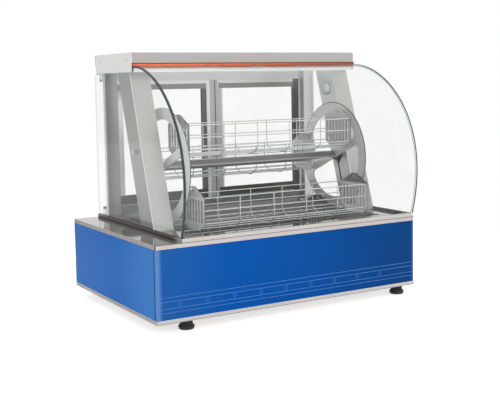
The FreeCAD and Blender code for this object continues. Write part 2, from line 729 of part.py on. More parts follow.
def half_moon(x0, x1, upper):
    """One of the two openings of a wheel: a disc cut off by the spoke, with rounded corners."""
    radius = WHEEL_RADIUS - RING_WIDTH
    disc = rod_x(x0, x1, ROTOR_FRONT, ROTOR_Z, radius)
    half = SPOKE_WIDTH / 2.0
    low = ROTOR_Z + half if upper else ROTOR_Z - radius
    zone = block(x0, x1, ROTOR_FRONT - radius, ROTOR_FRONT + radius, low, low + radius - half)
    return round_edges_along(disc.common(zone), Vector(1, 0, 0), MOON_CORNER)


def wheel(x0):
    x1 = x0 + WHEEL_SHEET
    disc = rod_x(x0, x1, ROTOR_FRONT, ROTOR_Z, WHEEL_RADIUS)
    for upper in (True, False):
        disc = disc.cut(half_moon(x0 - 1, x1 + 1, upper))
    disc = disc.cut(rod_x(x0 - 1, x1 + 1, ROTOR_FRONT, ROTOR_Z, JOURNAL_RADIUS))
    return turned(disc)


def rotor_bar():
    """A square tube between the wheels, plugged at its ends and turned down to two journals."""
    x0 = WHEEL_LEFT_X + WHEEL_SHEET
    x1 = WHEEL_RIGHT_X
    half = BAR_SIDE / 2.0
    tube = block(x0, x1, ROTOR_FRONT - half, ROTOR_FRONT + half, ROTOR_Z - half, ROTOR_Z + half)
    tube = round_edges_along(tube, Vector(1, 0, 0), BAR_CORNER)
    wall = 2.0 * STEEL
    hollow = block(x0 + BAR_PLUG, x1 - BAR_PLUG, ROTOR_FRONT - half + wall, ROTOR_FRONT + half - wall,
                   ROTOR_Z - half + wall, ROTOR_Z + half - wall)
    tube = tube.cut(hollow)
    left_end = WHEEL_LEFT_X - DRIVE_GAP - POST_SHEET - JOURNAL_IN_DRIVE
    right_end = WHEEL_RIGHT_X + WHEEL_SHEET + BEARING_GAP + JOURNAL_IN_BEARING
    left = rod_x(left_end, x0 + 1, ROTOR_FRONT, ROTOR_Z, JOURNAL_RADIUS)
    right = rod_x(x1 - 1, right_end, ROTOR_FRONT, ROTOR_Z, JOURNAL_RADIUS)
    return turned(tube.fuse([left, right]))


def pivots():
    """Axes of the baskets: midway between the spoke's ends, so they share the wheel evenly."""
    places = []
    for index in range(BASKETS):
        angle = math.radians(ROTOR_TILT + 180.0 / BASKETS + index * 360.0 / BASKETS)
        y = ROTOR_FRONT - PIVOT_RADIUS * math.cos(angle)
        z = ROTOR_Z + PIVOT_RADIUS * math.sin(angle)
        places.append((y, z))
    return places


def pivot_pin(y, z):
    """The left wheel's pin: a six-sided spacer for the basket, and the round pin itself."""
    x0 = WHEEL_LEFT_X + WHEEL_SHEET
    x1 = PLATE_LEFT_X - PIN_SHOULDER
    pin = rod_x(x1, PLATE_LEFT_X + BASKET_SHEET + PIN_END, y, z, PIN_RADIUS)
    return prism_x(hexagon(y, z, PIN_SPACER_RADIUS), x0, x1).fuse(pin)


def pivot_pins():
    middle = (WHEEL_LEFT_X + WHEEL_RIGHT_X + WHEEL_SHEET) / 2.0
    pins = []
    for y, z in pivots():
        pin = pivot_pin(y, z)
        pins.append(pin)
        pins.append(mirrored(pin, middle))
    return pins


# ---------------------------------------------------------------- baskets
def basket_section():
    """The basket's section about its pivot: shoulder, fold, floor corner and their mirror images."""
    side = BASKET_WIDTH / 2.0
    floor = BASKET_FLOOR_WIDTH / 2.0
    front = [(-side, -SHOULDER_DROP), (-side, -CHAMFER_DROP), (-floor, -BASKET_DROP)]
    return front + [(-y, z) for y, z in reversed(front)]


def end_plate(x0):
    """A gabled sheet with a pivot hole near its apex and a row of tall slots."""
    gable = [(APEX_HALF_WIDTH, APEX_RISE), (-APEX_HALF_WIDTH, APEX_RISE)]
    plate = prism_x(basket_section() + gable, x0, x0 + BASKET_SHEET)
    top = -SHOULDER_DROP - PLATE_SLOT_HEAD
    bottom = -CHAMFER_DROP + PLATE_SLOT_HEEL
    half = PLATE_SLOT_WIDTH / 2.0
    for index in range(PLATE_SLOTS):
        y = (index - (PLATE_SLOTS - 1) / 2.0) * PLATE_SLOT_PITCH
        plate = plate.cut(block(x0 - 1, x0 + BASKET_SHEET + 1, y - half, y + half, bottom, top))
    return plate.cut(rod_x(x0 - 1, x0 + BASKET_SHEET + 1, 0, 0, PIN_RADIUS + RUNNING_FIT))


def hoop_piece(x, start, stop, outward, bend_start, bend_stop):
    """One straight run of a hoop wire, with its outer face on the basket's section line."""
    along = (stop - start).normalize()
    half = WIRE / 2.0
    corners = []
    outline = [(0, start, 0), (0, stop, 0), (WIRE, stop, -bend_stop), (WIRE, start, bend_start)]
    for depth, point, bend in outline:
        corners.append(point - outward * depth + along * (depth * bend) + Vector(x - half, 0, 0))
    return Part.Face(Part.makePolygon(corners + [corners[0]])).extrude(Vector(WIRE, 0, 0))


def long_wire(x0, x1, centre, outward, along):
    half = along * (WIRE / 2.0)
    near = centre - outward * WIRE + Vector(x0, 0, 0)
    far = near - outward * WIRE
    corners = [near - half, near + half, far + half, far - half]
    return Part.Face(Part.makePolygon(corners + [corners[0]])).extrude(Vector(x1 - x0, 0, 0))


def miters(points):
    """Tangent of half the turn at each point of the hoop's path; its free ends are square."""
    values = [0.0]
    for before, point, after in zip(points, points[1:], points[2:]):
        turn = (point - before).getAngle(after - point)
        values.append(math.tan(turn / 2.0))
    return values + [0.0]


def cage():
    """The bent mesh of one basket about its pivot: five flat mats of welded wire."""
    x0 = PLATE_LEFT_X + BASKET_SHEET
    x1 = PLATE_RIGHT_X
    bay = (x1 - x0) / (HOOPS + 1)
    path = [Vector(0, y, z) for y, z in basket_section()]
    bends = miters(path)
    back = [1.0 - share for share in SIDE_WIRES]
    shares = [SIDE_WIRES, FOLD_WIRES, FLOOR_WIRES, FOLD_WIRES, back]
    mats = []
    for index, (start, stop) in enumerate(zip(path, path[1:])):
        along = (stop - start).normalize()
        outward = Vector(0, along.z, -along.y)
        wires = []
        for hoop in range(HOOPS):
            x = x0 + bay * (hoop + 1)
            wires.append(hoop_piece(x, start, stop, outward, bends[index], bends[index + 1]))
        for share in shares[index]:
            centre = start + (stop - start) * share
            wires.append(long_wire(x0, x1, centre, outward, along))
        mats.append(wires[0].fuse(wires[1:]))
    return mats


# ---------------------------------------------------------------- drive
def bearing_block():
    """A flanged bush on the right post, which carries the rotor's free journal."""
    x0 = POST_RIGHT_X
    x1 = x0 + BEARING_LENGTH
    flange = rod_x(x0 - BEARING_FLANGE, x0, ROTOR_FRONT, ROTOR_Z, hub_radius() + BEARING_FLANGE_RIM)
    nose = rod_x(x0, x1, ROTOR_FRONT, ROTOR_Z, hub_radius())
    bore = rod_x(x0 - BEARING_FLANGE - 1, x1 + 1, ROTOR_FRONT, ROTOR_Z, JOURNAL_RADIUS + RUNNING_FIT)
    return flange.fuse(nose).cut(bore)


def gearmotor():
    """A worm gearmotor inside the left post; its hollow output takes the rotor's long journal."""
    x1 = POST_LEFT_X + POST_WIDTH - POST_SHEET
    x0 = x1 - GEARBOX_WIDTH
    y1 = ROTOR_FRONT + hub_radius()
    z1 = ROTOR_Z + GEARBOX_HEIGHT / 2.0
    body = block(x0, x1, y1 - GEARBOX_DEPTH, y1, z1 - GEARBOX_HEIGHT, z1)
    can = rod_z(x0, y1 - MOTOR_RADIUS / 3.0, z1 - MOTOR_RADIUS / 2.0, z1 + MOTOR_LENGTH, MOTOR_RADIUS)
    tip = x1 + POST_SHEET + DRIVE_NOSE
    nose = rod_x(x1, tip, ROTOR_FRONT, ROTOR_Z, hub_radius())
    bore = rod_x(x0 - 1, tip + 1, ROTOR_FRONT, ROTOR_Z, JOURNAL_RADIUS + RUNNING_FIT)
    return body.fuse([can, nose]).cut(bore)


# ---------------------------------------------------------------- rear doors
def door_width():
    opening = (POST_RIGHT_X + POST_WIDTH) - POST_LEFT_X - 2 * REAR_POST_WIDTH
    return (opening + DOOR_OVERLAP) / 2.0 + DOOR_TUCK


def door_levels():
    low = Z_RIM + TRACK_HEIGHT - TRACK_LIP + DOOR_REST
    high = Z_HOOD - TRACK_HEIGHT + TRACK_LIP - DOOR_HEAD_GAP
    return low, high


def window_edges(x0, meets_right):
    """Left and right edges of a leaf's glazed opening: the meeting stile is the wide one."""
    left_stile = DOOR_OUTER_STILE if meets_right else DOOR_MEETING_STILE
    right_stile = DOOR_MEETING_STILE if meets_right else DOOR_OUTER_STILE
    return x0 + left_stile, x0 + door_width() - right_stile


def glazing_box(x0, y0, meets_right, margin, thickness):
    left, right = window_edges(x0, meets_right)
    z0, z1 = door_levels()
    middle = y0 + DOOR_THICKNESS / 2.0
    return block(left - margin, right + margin, middle - thickness / 2, middle + thickness / 2,
                 z0 + DOOR_LOW_RAIL - margin, z1 - DOOR_HIGH_RAIL + margin)


def door_frame(x0, y0, meets_right):
    """A glazed leaf with a finger pull in the back of its meeting stile."""
    x1 = x0 + door_width()
    z0, z1 = door_levels()
    y1 = y0 + DOOR_THICKNESS
    leaf = block(x0, x1, y0, y1, z0, z1)
    leaf = leaf.cut(glazing_box(x0, y0, meets_right, 0.0, DOOR_THICKNESS + 2))
    leaf = leaf.cut(glazing_box(x0, y0, meets_right, DOOR_REBATE, DOOR_GLASS + DOOR_GLASS_PLAY))
    left, right = window_edges(x0, meets_right)
    pull = right + PULL_INSET if meets_right else left - PULL_INSET - PULL_WIDTH
    low = (z0 + z1 - PULL_HEIGHT) / 2.0
    return leaf.cut(block(pull, pull + PULL_WIDTH, y1 - PULL_DEPTH, y1 + 1, low, low + PULL_HEIGHT))


def door_pane(x0, y0, meets_right):
    return glazing_box(x0, y0, meets_right, DOOR_REBATE - DOOR_REBATE_PLAY, DOOR_GLASS)


def door_places():
    x_left = POST_LEFT_X + REAR_POST_WIDTH - DOOR_TUCK
    x_right = POST_RIGHT_X + POST_WIDTH - REAR_POST_WIDTH + DOOR_TUCK - door_width()
    return (x_left, DOOR_FRONT, True), (x_right, DOOR_FRONT + DOOR_THICKNESS + DOOR_GAP, False)


def track(z0, direction):
    """One of the two door tracks: a base with three fins that guide the leaves between them."""
    y0 = DOOR_FRONT - DOOR_PLAY - TRACK_WALL
    y1 = TRACK_REAR + DOOR_PLAY + TRACK_WALL
    mid = DOOR_FRONT + DOOR_THICKNESS + DOOR_GAP / 2.0
    half = DOOR_GAP / 2.0 - DOOR_PLAY
    deep = TRACK_HEIGHT - TRACK_LIP
    if direction > 0:
        levels = (z0, z0 + deep, z0 + TRACK_HEIGHT)
    else:
        levels = (z0, z0 - deep, z0 - TRACK_HEIGHT)
    low, mid_level, high = levels
    section = [
        (y0, low), (y1, low), (y1, high), (y1 - TRACK_WALL, high), (y1 - TRACK_WALL, mid_level),
        (mid + half, mid_level), (mid + half, high), (mid - half, high), (mid - half, mid_level),
        (y0 + TRACK_WALL, mid_level), (y0 + TRACK_WALL, high), (y0, high),
    ]
    return prism_x(section, INSIDE_LEFT + POST_CLEAR, INSIDE_RIGHT - POST_CLEAR)


# ---------------------------------------------------------------- controls
def control_z():
    return Z_PANEL + CONTROL_RISE


def knob_x():
    return CONTROL_RIGHT_INSET


def switch_places():
    return [CONTROL_RIGHT_INSET + CONTROL_PITCH * (index + 1) for index in range(2)]


def pilot_x():
    return CONTROL_RIGHT_INSET + CONTROL_PITCH * 3


def gland_x():
    return WIDTH - GLAND_LEFT_INSET


def gland_z():
    return Z_PANEL + GLAND_RISE


def thermostat_knob():
    x = knob_x()
    z = control_z()
    low = DEPTH + KNOB_GAP
    high = low + KNOB_SKIRT
    half = KNOB_RADIUS - KNOB_WING_INSET
    skirt = rod_y(x, low, high, z, KNOB_RADIUS)
    wing = block(x - KNOB_WING / 2, x + KNOB_WING / 2, high, DEPTH + KNOB_LENGTH, z - half, z + half)
    shaft = rod_y(x, DEPTH - PANEL_SHEET - KNOB_SHAFT_REACH, low + 1, z, KNOB_SHAFT_RADIUS)
    return skirt.fuse([wing, shaft])


def thermostat():
    x = knob_x()
    z = control_z()
    y1 = DEPTH - PANEL_SHEET
    case = block(x - THERMOSTAT_WIDTH / 2, x + THERMOSTAT_WIDTH / 2, y1 - THERMOSTAT_DEPTH, y1,
                 z - THERMOSTAT_HEIGHT / 2, z + THERMOSTAT_HEIGHT / 2)
    return case.cut(rod_y(x, y1 - THERMOSTAT_BORE, y1 + 1, z, KNOB_SHAFT_RADIUS + RUNNING_FIT))


def switch_box(x, y0, y1, margin):
    """A block about a switch, larger than its cut-out in the panel by a margin all round."""
    z = control_z()
    half_width = SWITCH_WIDTH / 2 + margin
    half_height = SWITCH_HEIGHT / 2 + margin
    return block(x - half_width, x + half_width, y0, y1, z - half_height, z + half_height)


def switch_frame(x):
    y = DEPTH
    lip = switch_box(x, y, y + SWITCH_LIP_HEIGHT, SWITCH_LIP)
    can = switch_box(x, y - SWITCH_DEPTH, y, -SWITCH_FIT)
    pocket = switch_box(x, y - SWITCH_POCKET, y + SWITCH_LIP_HEIGHT + 1, -SWITCH_WALL)
    return lip.fuse(can).cut(pocket)


def rocker(x):
    """A rocker about an axis along X, stored with its lower end pressed in."""
    z = control_z()
    half = SWITCH_HEIGHT / 2 - SWITCH_WALL - ROCKER_END_CLEAR
    y = DEPTH - ROCKER_AXIS_DEPTH
    low = y - ROCKER_SKIRT
    high = y + ROCKER_SHOULDER
    section = [(y - ROCKER_KEEL, z), (low, z - half), (high, z - half), (y + ROCKER_CROWN, z),
               (high, z + half), (low, z + half)]
    half_width = SWITCH_WIDTH / 2 - SWITCH_WALL - ROCKER_CLEAR
    body = prism_x(section, x - half_width, x + half_width)
    body.rotate(Vector(x, y, z), Vector(1, 0, 0), -ROCKER_TILT)
    return body


def pilot_lamp():
    x = pilot_x()
    z = control_z()
    face = DEPTH + PILOT_BEZEL_HEIGHT
    bezel = rod_y(x, DEPTH, face, z, PILOT_RADIUS + PILOT_BEZEL)
    lens = rod_y(x, face, face + PILOT_LENS_HEIGHT, z, PILOT_RADIUS)
    return bezel.fuse(lens)


def cable_gland():
    """An empty gland: a six-sided head outside the panel and a thread through it."""
    x = gland_x()
    z = gland_z()
    corners = [Vector(cx, DEPTH, cz) for cx, cz in hexagon(x, z, GLAND_RADIUS)]
    head = Part.Face(Part.makePolygon(corners + [corners[0]])).extrude(Vector(0, GLAND_HEAD, 0))
    back = DEPTH - PANEL_SHEET - GLAND_THREAD_LENGTH
    thread = rod_y(x, back, DEPTH, z, GLAND_THREAD_RADIUS)
    bore = rod_y(x, back - 1, DEPTH + GLAND_HEAD + 1, z, GLAND_BORE_RADIUS)
    return head.fuse(thread).cut(bore)


# ---------------------------------------------------------------- assembly
def build_base():
    export("base_pan", base_pan())
    for index, (x, y) in enumerate(foot_places()):
        export("foot_%d" % (index + 1), foot(x, y))
    export("front_panel", wall_panel(WIDTH))
    panel = side_panel()
    export("side_panel_left", panel)
    export("side_panel_right", mirrored(panel, WIDTH / 2.0))
    export("rear_panel", rear_panel())
    export("corner_angles", corner_angles())
    export("worktop", worktop())
    export("rim_frame", rim_frame())
    export("well_tub", well_tub())
    export("drip_tray", drip_tray())
    export("heaters", heaters())


def build_hood():
    middle = (CASE_LEFT + CASE_RIGHT) / 2.0
    export("front_glass", front_glass())
    pane = side_glass()
    export("side_glass_left", pane)
    export("side_glass_right", mirrored(pane, middle))
    export("glass_fixings", glass_fixings())
    export("hood_shell", hood_shell())
    export("hood_liner", hood_liner())
    export("hood_end_left", hood_end())
    export("hood_end_right", mirrored(hood_end(), middle))
    export("trim_strip", trim_strip())
    left = post()
    export("post_left", left)
    export("post_right", mirrored(left, middle))
    cover = post_cover()
    export("post_covers", [cover, mirrored(cover, middle)])
    upright = rear_post()
    export("rear_post_left", upright)
    export("rear_post_right", mirrored(upright, middle))
    ring = lamp_holder()
    export("lamp_holders", [ring, mirrored(ring, middle)])
    dome = lamp_dome()
    export("lamp_domes", [dome, mirrored(dome, middle)])
    export("track_lower", track(Z_RIM, 1))
    export("track_upper", track(Z_HOOD, -1))


def build_rotor():
    export("wheel_left", wheel(WHEEL_LEFT_X))
    export("wheel_right", wheel(WHEEL_RIGHT_X))
    export("rotor_bar", rotor_bar())
    export("pivot_pins", pivot_pins())
    export("bearing_block", bearing_block())
    export("gearmotor", gearmotor())


def build_baskets():
    plates = [end_plate(PLATE_LEFT_X), end_plate(PLATE_RIGHT_X)]
    mats = cage()
    for index, (y, z) in enumerate(pivots()):
        move = Vector(0, y, z)
        export("basket_%d_ends" % (index + 1), [plate.translated(move) for plate in plates])
        export("basket_%d_cage" % (index + 1), [side.translated(move) for side in mats])


def build_doors():
    for name, place in zip(("left", "right"), door_places()):
        export("door_%s_frame" % name, door_frame(*place))
        export("door_%s_pane" % name, door_pane(*place))


def build_controls():
    export("thermostat", thermostat())
    export("thermostat_knob", thermostat_knob())
    export("switch_frames", [switch_frame(x) for x in switch_places()])
    for name, x in zip(("heat", "light"), switch_places()):
        export("rocker_" + name, rocker(x))
    export("pilot_lamp", pilot_lamp())
    export("cable_gland", cable_gland())


build_base()
build_hood()
build_rotor()
build_baskets()
build_doors()
build_controls()
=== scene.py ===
import math

import bmesh
import bpy
from mathutils import Matrix, Vector


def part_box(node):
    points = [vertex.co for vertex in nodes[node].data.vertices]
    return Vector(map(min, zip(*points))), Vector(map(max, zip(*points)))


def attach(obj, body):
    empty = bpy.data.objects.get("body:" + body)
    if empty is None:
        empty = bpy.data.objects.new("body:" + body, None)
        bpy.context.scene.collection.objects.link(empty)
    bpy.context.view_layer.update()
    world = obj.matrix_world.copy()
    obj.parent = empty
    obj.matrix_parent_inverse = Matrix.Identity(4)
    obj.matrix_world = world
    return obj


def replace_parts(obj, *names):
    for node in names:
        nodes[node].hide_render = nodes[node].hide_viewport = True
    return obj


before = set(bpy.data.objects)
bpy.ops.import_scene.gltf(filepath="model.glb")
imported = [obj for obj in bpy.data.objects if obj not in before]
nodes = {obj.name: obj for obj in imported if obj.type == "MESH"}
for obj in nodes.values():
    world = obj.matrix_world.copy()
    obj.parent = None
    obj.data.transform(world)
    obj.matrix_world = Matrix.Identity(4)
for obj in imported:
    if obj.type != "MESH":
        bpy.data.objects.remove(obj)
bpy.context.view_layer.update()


# ---------------------------------------------------------------- studio
# A white room: the case stands on a pale matt floor under one broad soft lamp in
# front and a weaker one overhead, and it is seen from its front left corner.

class Field:
    """A value that changes over a surface. An expression on it adds the Math nodes that it needs."""

    def __init__(self, finish, socket):
        self.finish = finish
        self.socket = socket

    def maths(self, operation, *values):
        """A Math node over the given values."""
        return self.finish.node("Math", {"operation": operation}, dict(enumerate(values)))

    def __add__(self, other):
        return self.maths("ADD", self, other)

    def __sub__(self, other):
        return self.maths("SUBTRACT", self, other)

    def __rsub__(self, other):
        return self.maths("SUBTRACT", other, self)

    def __mul__(self, other):
        return self.maths("MULTIPLY", self, other)

    def __truediv__(self, other):
        return self.maths("DIVIDE", self, other)

    def __gt__(self, other):
        return self.maths("GREATER_THAN", self, other)

    def __lt__(self, other):
        return self.maths("LESS_THAN", self, other)

    def __abs__(self):
        return self.maths("ABSOLUTE", self)

    __radd__ = __add__
    __rmul__ = __mul__

    def eased(self, low, high):
        """0 at low and 1 at high, with an eased slope between them, and held beyond them."""
        settings = {"interpolation_type": "SMOOTHSTEP"}
        return self.finish.node("MapRange", settings, {"Value": self, "From Min": low, "From Max": high})

    def out(self, name):
        """Another output of the same node."""
        return Field(self.finish, self.socket.node.outputs[name])


SQUARELY = 0.7


class Finish:
    """The node tree of one material or world."""

    def __init__(self, block):
        self.block = block
        block.use_nodes = True
        self.tree = block.node_tree
        self.tree.nodes.clear()

    def node(self, kind, settings=None, sockets=None, output=0):
        """Adds a node: its settings first, then the values or links of its sockets. An output
        is given by its name or its number."""
        made = self.tree.nodes.new("ShaderNode" + kind)
        for key, value in (settings or {}).items():
            setattr(made, key, value)
        for key, value in (sockets or {}).items():
            if isinstance(value, Field):
                self.tree.links.new(value.socket, made.inputs[key])
            else:
                made.inputs[key].default_value = value
        return Field(self, made.outputs[output]) if made.outputs else None

    def mix(self, share, low, high):
        """A colour between two others: low where the share is 0 and high where it is 1."""
        return self.node("Mix", {"data_type": "RGBA"}, {0: share, 6: low, 7: high}, 2)

    def blend(self, share, low, high):
        """A shader between two others, in the same way."""
        return self.node("MixShader", sockets={0: share, 1: low, 2: high})

    def place(self, scale=(1, 1, 1)):
        """The object's own coordinates, in metres, scaled."""
        spot = self.node("TexCoord", output="Object")
        return self.node("Mapping", sockets={"Vector": spot, "Scale": scale})

    def noise(self, scale, stretch=(1, 1, 1), detail=2.0, rough=0.5):
        """Cloudy noise, 0 to 1, with about scale patches to a metre. A small stretch on one axis
        draws it out along that axis."""
        sockets = {"Vector": self.place(stretch), "Scale": scale, "Detail": detail, "Roughness": rough}
        return self.node("TexNoise", sockets=sockets)

    def side(self, axis):
        """The part of the surface's outward direction along one axis, -1 to 1."""
        outward = self.node("NewGeometry", output="True Normal")
        return self.node("SeparateXYZ", sockets={0: outward}, output=axis)

    def facing(self, axis):
        """1 on the faces that look squarely enough along one axis, either way, and 0 elsewhere."""
        return abs(self.side(axis)) > SQUARELY

    def spot(self, axis):
        """How far along one axis the surface lies, in metres."""
        return self.node("SeparateXYZ", sockets={0: self.place()}, output=axis)

    def bump(self, height, strength, distance):
        """Fine relief for a shader's normal, its distance in metres."""
        return self.node("Bump", sockets={"Height": height, "Strength": strength, "Distance": distance})

    def shader(self, sockets):
        """The one surface shader that all the finishes use."""
        return self.node("BsdfPrincipled", sockets=sockets)

    def show(self, shader):
        """Puts a shader on the material or world, and returns that."""
        kind = "OutputWorld" if isinstance(self.block, bpy.types.World) else "OutputMaterial"
        self.node(kind, sockets={"Surface": shader})
        return self.block


def shade(red, green, blue):
    """A colour from its display values, 0 to 255."""
    values = [v / 255 for v in (red, green, blue)]
    return [v / 12.92 if v < 0.04045 else ((v + 0.055) / 1.055) ** 2.4 for v in values] + [1.0]


def grey(level):
    """A plain grey from the share of the light that it sends back, 0 to 1."""
    return (level, level, level, 1)


ROOM_LIGHT = 0.70
FLAG_LIGHT = 0.42
FLAG_REACH = (-0.75, 0.05)


def room():
    """A white room with a grey flag on its left, which the steel mirrors and the eye never sees."""
    world = bpy.data.worlds.new("white_room")
    finish = Finish(world)
    path = finish.node("LightPath", output="Is Camera Ray")
    through = path.maths("MAXIMUM", path, path.out("Is Transmission Ray"))
    direction = finish.node("TexCoord", output="Generated")
    sideways = finish.node("SeparateXYZ", sockets={0: direction}, output="X")
    flag = sideways.eased(*FLAG_REACH) * (1.0 - FLAG_LIGHT) + (FLAG_LIGHT - ROOM_LIGHT)
    level = path.out("Is Glossy Ray") * flag + ROOM_LIGHT
    level = level.maths("MAXIMUM", level, through)
    finish.show(finish.node("Background", sockets={"Color": grey(1), "Strength": level}))
    bpy.context.scene.world = world


FLOOR_REACH = 9.0
FLOOR_TONES = (0.90, 0.96)
FLOOR_LIFT = 0.6
FLOOR_FADE = (0.95, 2.0)


def floor():
    """A pale matt floor that keeps the case's shadow and fades to white paper further out."""
    finish = Finish(bpy.data.materials.new("pale_floor"))
    grain = finish.noise(60.0, detail=4.0)
    path = finish.node("LightPath", output="Is Camera Ray")
    mirrored = path.maths("MAXIMUM", path.out("Is Glossy Ray"), path.out("Is Transmission Ray"))
    seen = path.maths("MAXIMUM", path, mirrored)
    matt = finish.shader({
        "Base Color": finish.mix(grain, grey(FLOOR_TONES[0]), grey(FLOOR_TONES[1])),
        "Roughness": 0.9,
        "Specular IOR Level": 0.1,
        "Emission Color": finish.mix(seen, grey(0), grey(FLOOR_LIFT)),
        "Emission Strength": 1.0,
    })
    paper = finish.node("Emission", sockets={"Color": grey(1), "Strength": 1.0})
    away = finish.node("VectorMath", {"operation": "LENGTH"}, {0: finish.place()}, "Value")
    away = away.eased(*FLOOR_FADE) * seen
    form = bmesh.new()
    bmesh.ops.create_circle(form, cap_ends=True, segments=64, radius=FLOOR_REACH)
    mesh = bpy.data.meshes.new("floor")
    form.to_mesh(mesh)
    form.free()
    mesh.materials.append(finish.show(finish.blend(away, matt, paper)))
    made = bpy.data.objects.new("floor", mesh)
    bpy.context.collection.objects.link(made)


def lamp(name, power, size, spot, target):
    """A soft round lamp turned to a target. The steel doesn't mirror it."""
    light = bpy.data.lights.new(name, "AREA")
    light.energy = power
    light.shape = "DISK"
    light.size = size
    made = bpy.data.objects.new(name, light)
    bpy.context.collection.objects.link(made)
    made.location = spot
    made.rotation_euler = (Vector(target) - Vector(spot)).to_track_quat("-Z", "Y").to_euler()
    made.visible_glossy = False


CAMERA_SPOT = (-1.6455, -2.8386, 0.7621)
CAMERA_YAW = math.radians(30.64)
CAMERA_DIP = math.radians(4.85)
CAMERA_ROLL = math.radians(-1.02)
CAMERA_LENS = 66.76
CAMERA_SHIFT = -0.08


def camera():
    """The eye off the front left corner, a little lower than the hood and looking slightly down."""
    ahead = Vector((
        math.sin(CAMERA_YAW) * math.cos(CAMERA_DIP),
        math.cos(CAMERA_YAW) * math.cos(CAMERA_DIP),
        -math.sin(CAMERA_DIP),
    ))
    level = Vector((math.cos(CAMERA_YAW), -math.sin(CAMERA_YAW), 0))
    upright = level.cross(ahead)
    side = level * math.cos(CAMERA_ROLL) + upright * math.sin(CAMERA_ROLL)
    up = upright * math.cos(CAMERA_ROLL) - level * math.sin(CAMERA_ROLL)
    eye = bpy.data.cameras.new("camera")
    eye.lens = CAMERA_LENS
    eye.shift_y = CAMERA_SHIFT
    eye.clip_start = 0.05
    made = bpy.data.objects.new("camera", eye)
    bpy.context.collection.objects.link(made)
    turn = Matrix((side, up, -ahead)).transposed()
    made.matrix_world = Matrix.Translation(CAMERA_SPOT) @ turn.to_4x4()
    bpy.context.scene.camera = made


room()
floor()
lamp("front_lamp", power=20.0, size=1.6, spot=(0.1, -2.7, 1.5), target=(0, -0.2, 0.3))
lamp("overhead_lamp", power=10.0, size=2.4, spot=(0.0, -0.3, 3.0), target=(0, 0, 0.4))
camera()
bpy.context.scene.view_settings.view_transform = "Standard"


# ---------------------------------------------------------------- base
# The cabinet below: a bottom pan and rail in satin stainless, and front, side and rear
# panels of sheet steel in stoved blue paint, hung between folded corner angles.

def dress(material, *names):
    """Gives CAD nodes a finish."""
    for name in names:
        for slot in nodes[name].material_slots:
            slot.material = material


def scaled(colour, factor, lift=0.0):
    """A darker or lighter version of a colour."""
    return [min(1, channel * factor + lift) for channel in colour[:3]] + [1]


GRAIN = 0.03
GRAIN_STRETCH = {"x": (GRAIN, 1, 1), "y": (1, GRAIN, 1), "z": (1, 1, GRAIN)}


def brushed(name, colour, roughness, grain="x", contrast=0.1, satin=0.35, areas=None):
    """Stainless or aluminium sheet, ground along one axis. Its areas, such as edges or
    folded bands, are given their own tone and polish by a function."""
    finish = Finish(bpy.data.materials.new(name))
    lines = finish.noise(900.0, GRAIN_STRETCH[grain], 3.0)
    bands = finish.noise(24.0, GRAIN_STRETCH[grain], 3.0, 0.6)
    cloud = finish.noise(5.0, detail=3.0)
    share = lines * 0.3 + bands * 0.4 + cloud * 0.3
    tone = finish.mix(share.eased(0.3, 0.7), scaled(colour, 1 - contrast), scaled(colour, 1 + contrast))
    polish = roughness + (lines - 0.5) * 0.14 + (cloud - 0.5) * 0.1
    if areas:
        tone, polish = areas(finish, tone, polish)
    return finish.show(finish.shader({
        "Base Color": tone,
        "Metallic": 1.0 - satin,
        "Roughness": polish,
        "Specular IOR Level": 0.3,
        "Normal": finish.bump(lines, 0.06, 0.0003),
    }))


PANEL_SKIN = 0.0012
PANEL_BEND = 0.0068
PANEL_WRAP = 0.009
PANEL_JOINT = 0.0065
SIDE_BEND = 0.0015
SIDE_FOLD = 0.006
FOLD_HIGHLIGHT = (0.020, 0.002)
RIGHT_HIGHLIGHT = 0.2
panel_low, panel_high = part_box("front_panel")
wrap_end = panel_low.y + PANEL_WRAP


def painted(name, colour, axis, drifts, highlight_colour):
    """Stoved paint over a faint orange peel. Its tone drifts along one axis as painted light and shade:
    each drift is (from, to, colour). The front sheet's folded ends are painted paler as a painted
    highlight, most on the left."""
    finish = Finish(bpy.data.materials.new(name))
    ripple = finish.noise(420.0)
    cloud = finish.noise(4.0, detail=3.0)
    tone = colour
    for start, end, next_colour in drifts:
        tone = finish.mix(finish.spot(axis).eased(start, end), tone, next_colour)
    mottle = finish.mix(cloud.eased(0.3, 0.7), grey(0.93), grey(1))
    settings = {"data_type": "RGBA", "blend_type": "MULTIPLY"}
    tone = finish.node("Mix", settings, {0: 1.0, 6: tone, 7: mottle}, 2)
    along = finish.spot("X")
    on_wrap = finish.spot("Y") < wrap_end + PANEL_JOINT / 2
    # Painted highlight on the front sheet's folded ends, fainter on the right.
    fold = abs(along).eased(panel_high.x - FOLD_HIGHLIGHT[0], panel_high.x - FOLD_HIGHLIGHT[1]) * on_wrap
    fold = fold * ((along < 0.0) * (1 - RIGHT_HIGHLIGHT) + RIGHT_HIGHLIGHT)
    return finish.show(finish.shader({
        "Base Color": finish.mix(fold, tone, highlight_colour),
        "Roughness": 0.42 + (cloud - 0.5) * 0.12,
        "Specular IOR Level": 0.06,
        "Coat Weight": 0.02,
        "Coat Roughness": 0.2,
        "Normal": finish.bump(ripple, 0.12, 0.0004),
    }))


def shaped(name, form, material, body):
    """Turns a bmesh into a piece that rides on one body."""
    bmesh.ops.recalc_face_normals(form, faces=form.faces)
    mesh = bpy.data.meshes.new(name)
    form.to_mesh(mesh)
    form.free()
    mesh.materials.append(material)
    made = bpy.data.objects.new(name, mesh)
    bpy.context.collection.objects.link(made)
    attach(made, body)
    return made


def smooth(made, degrees=35):
    """Shades the shallow edges of a piece smooth and keeps the sharp ones."""
    mesh = made.data
    mesh.shade_smooth()
    mesh.set_sharp_from_angle(angle=math.radians(degrees))
    return made


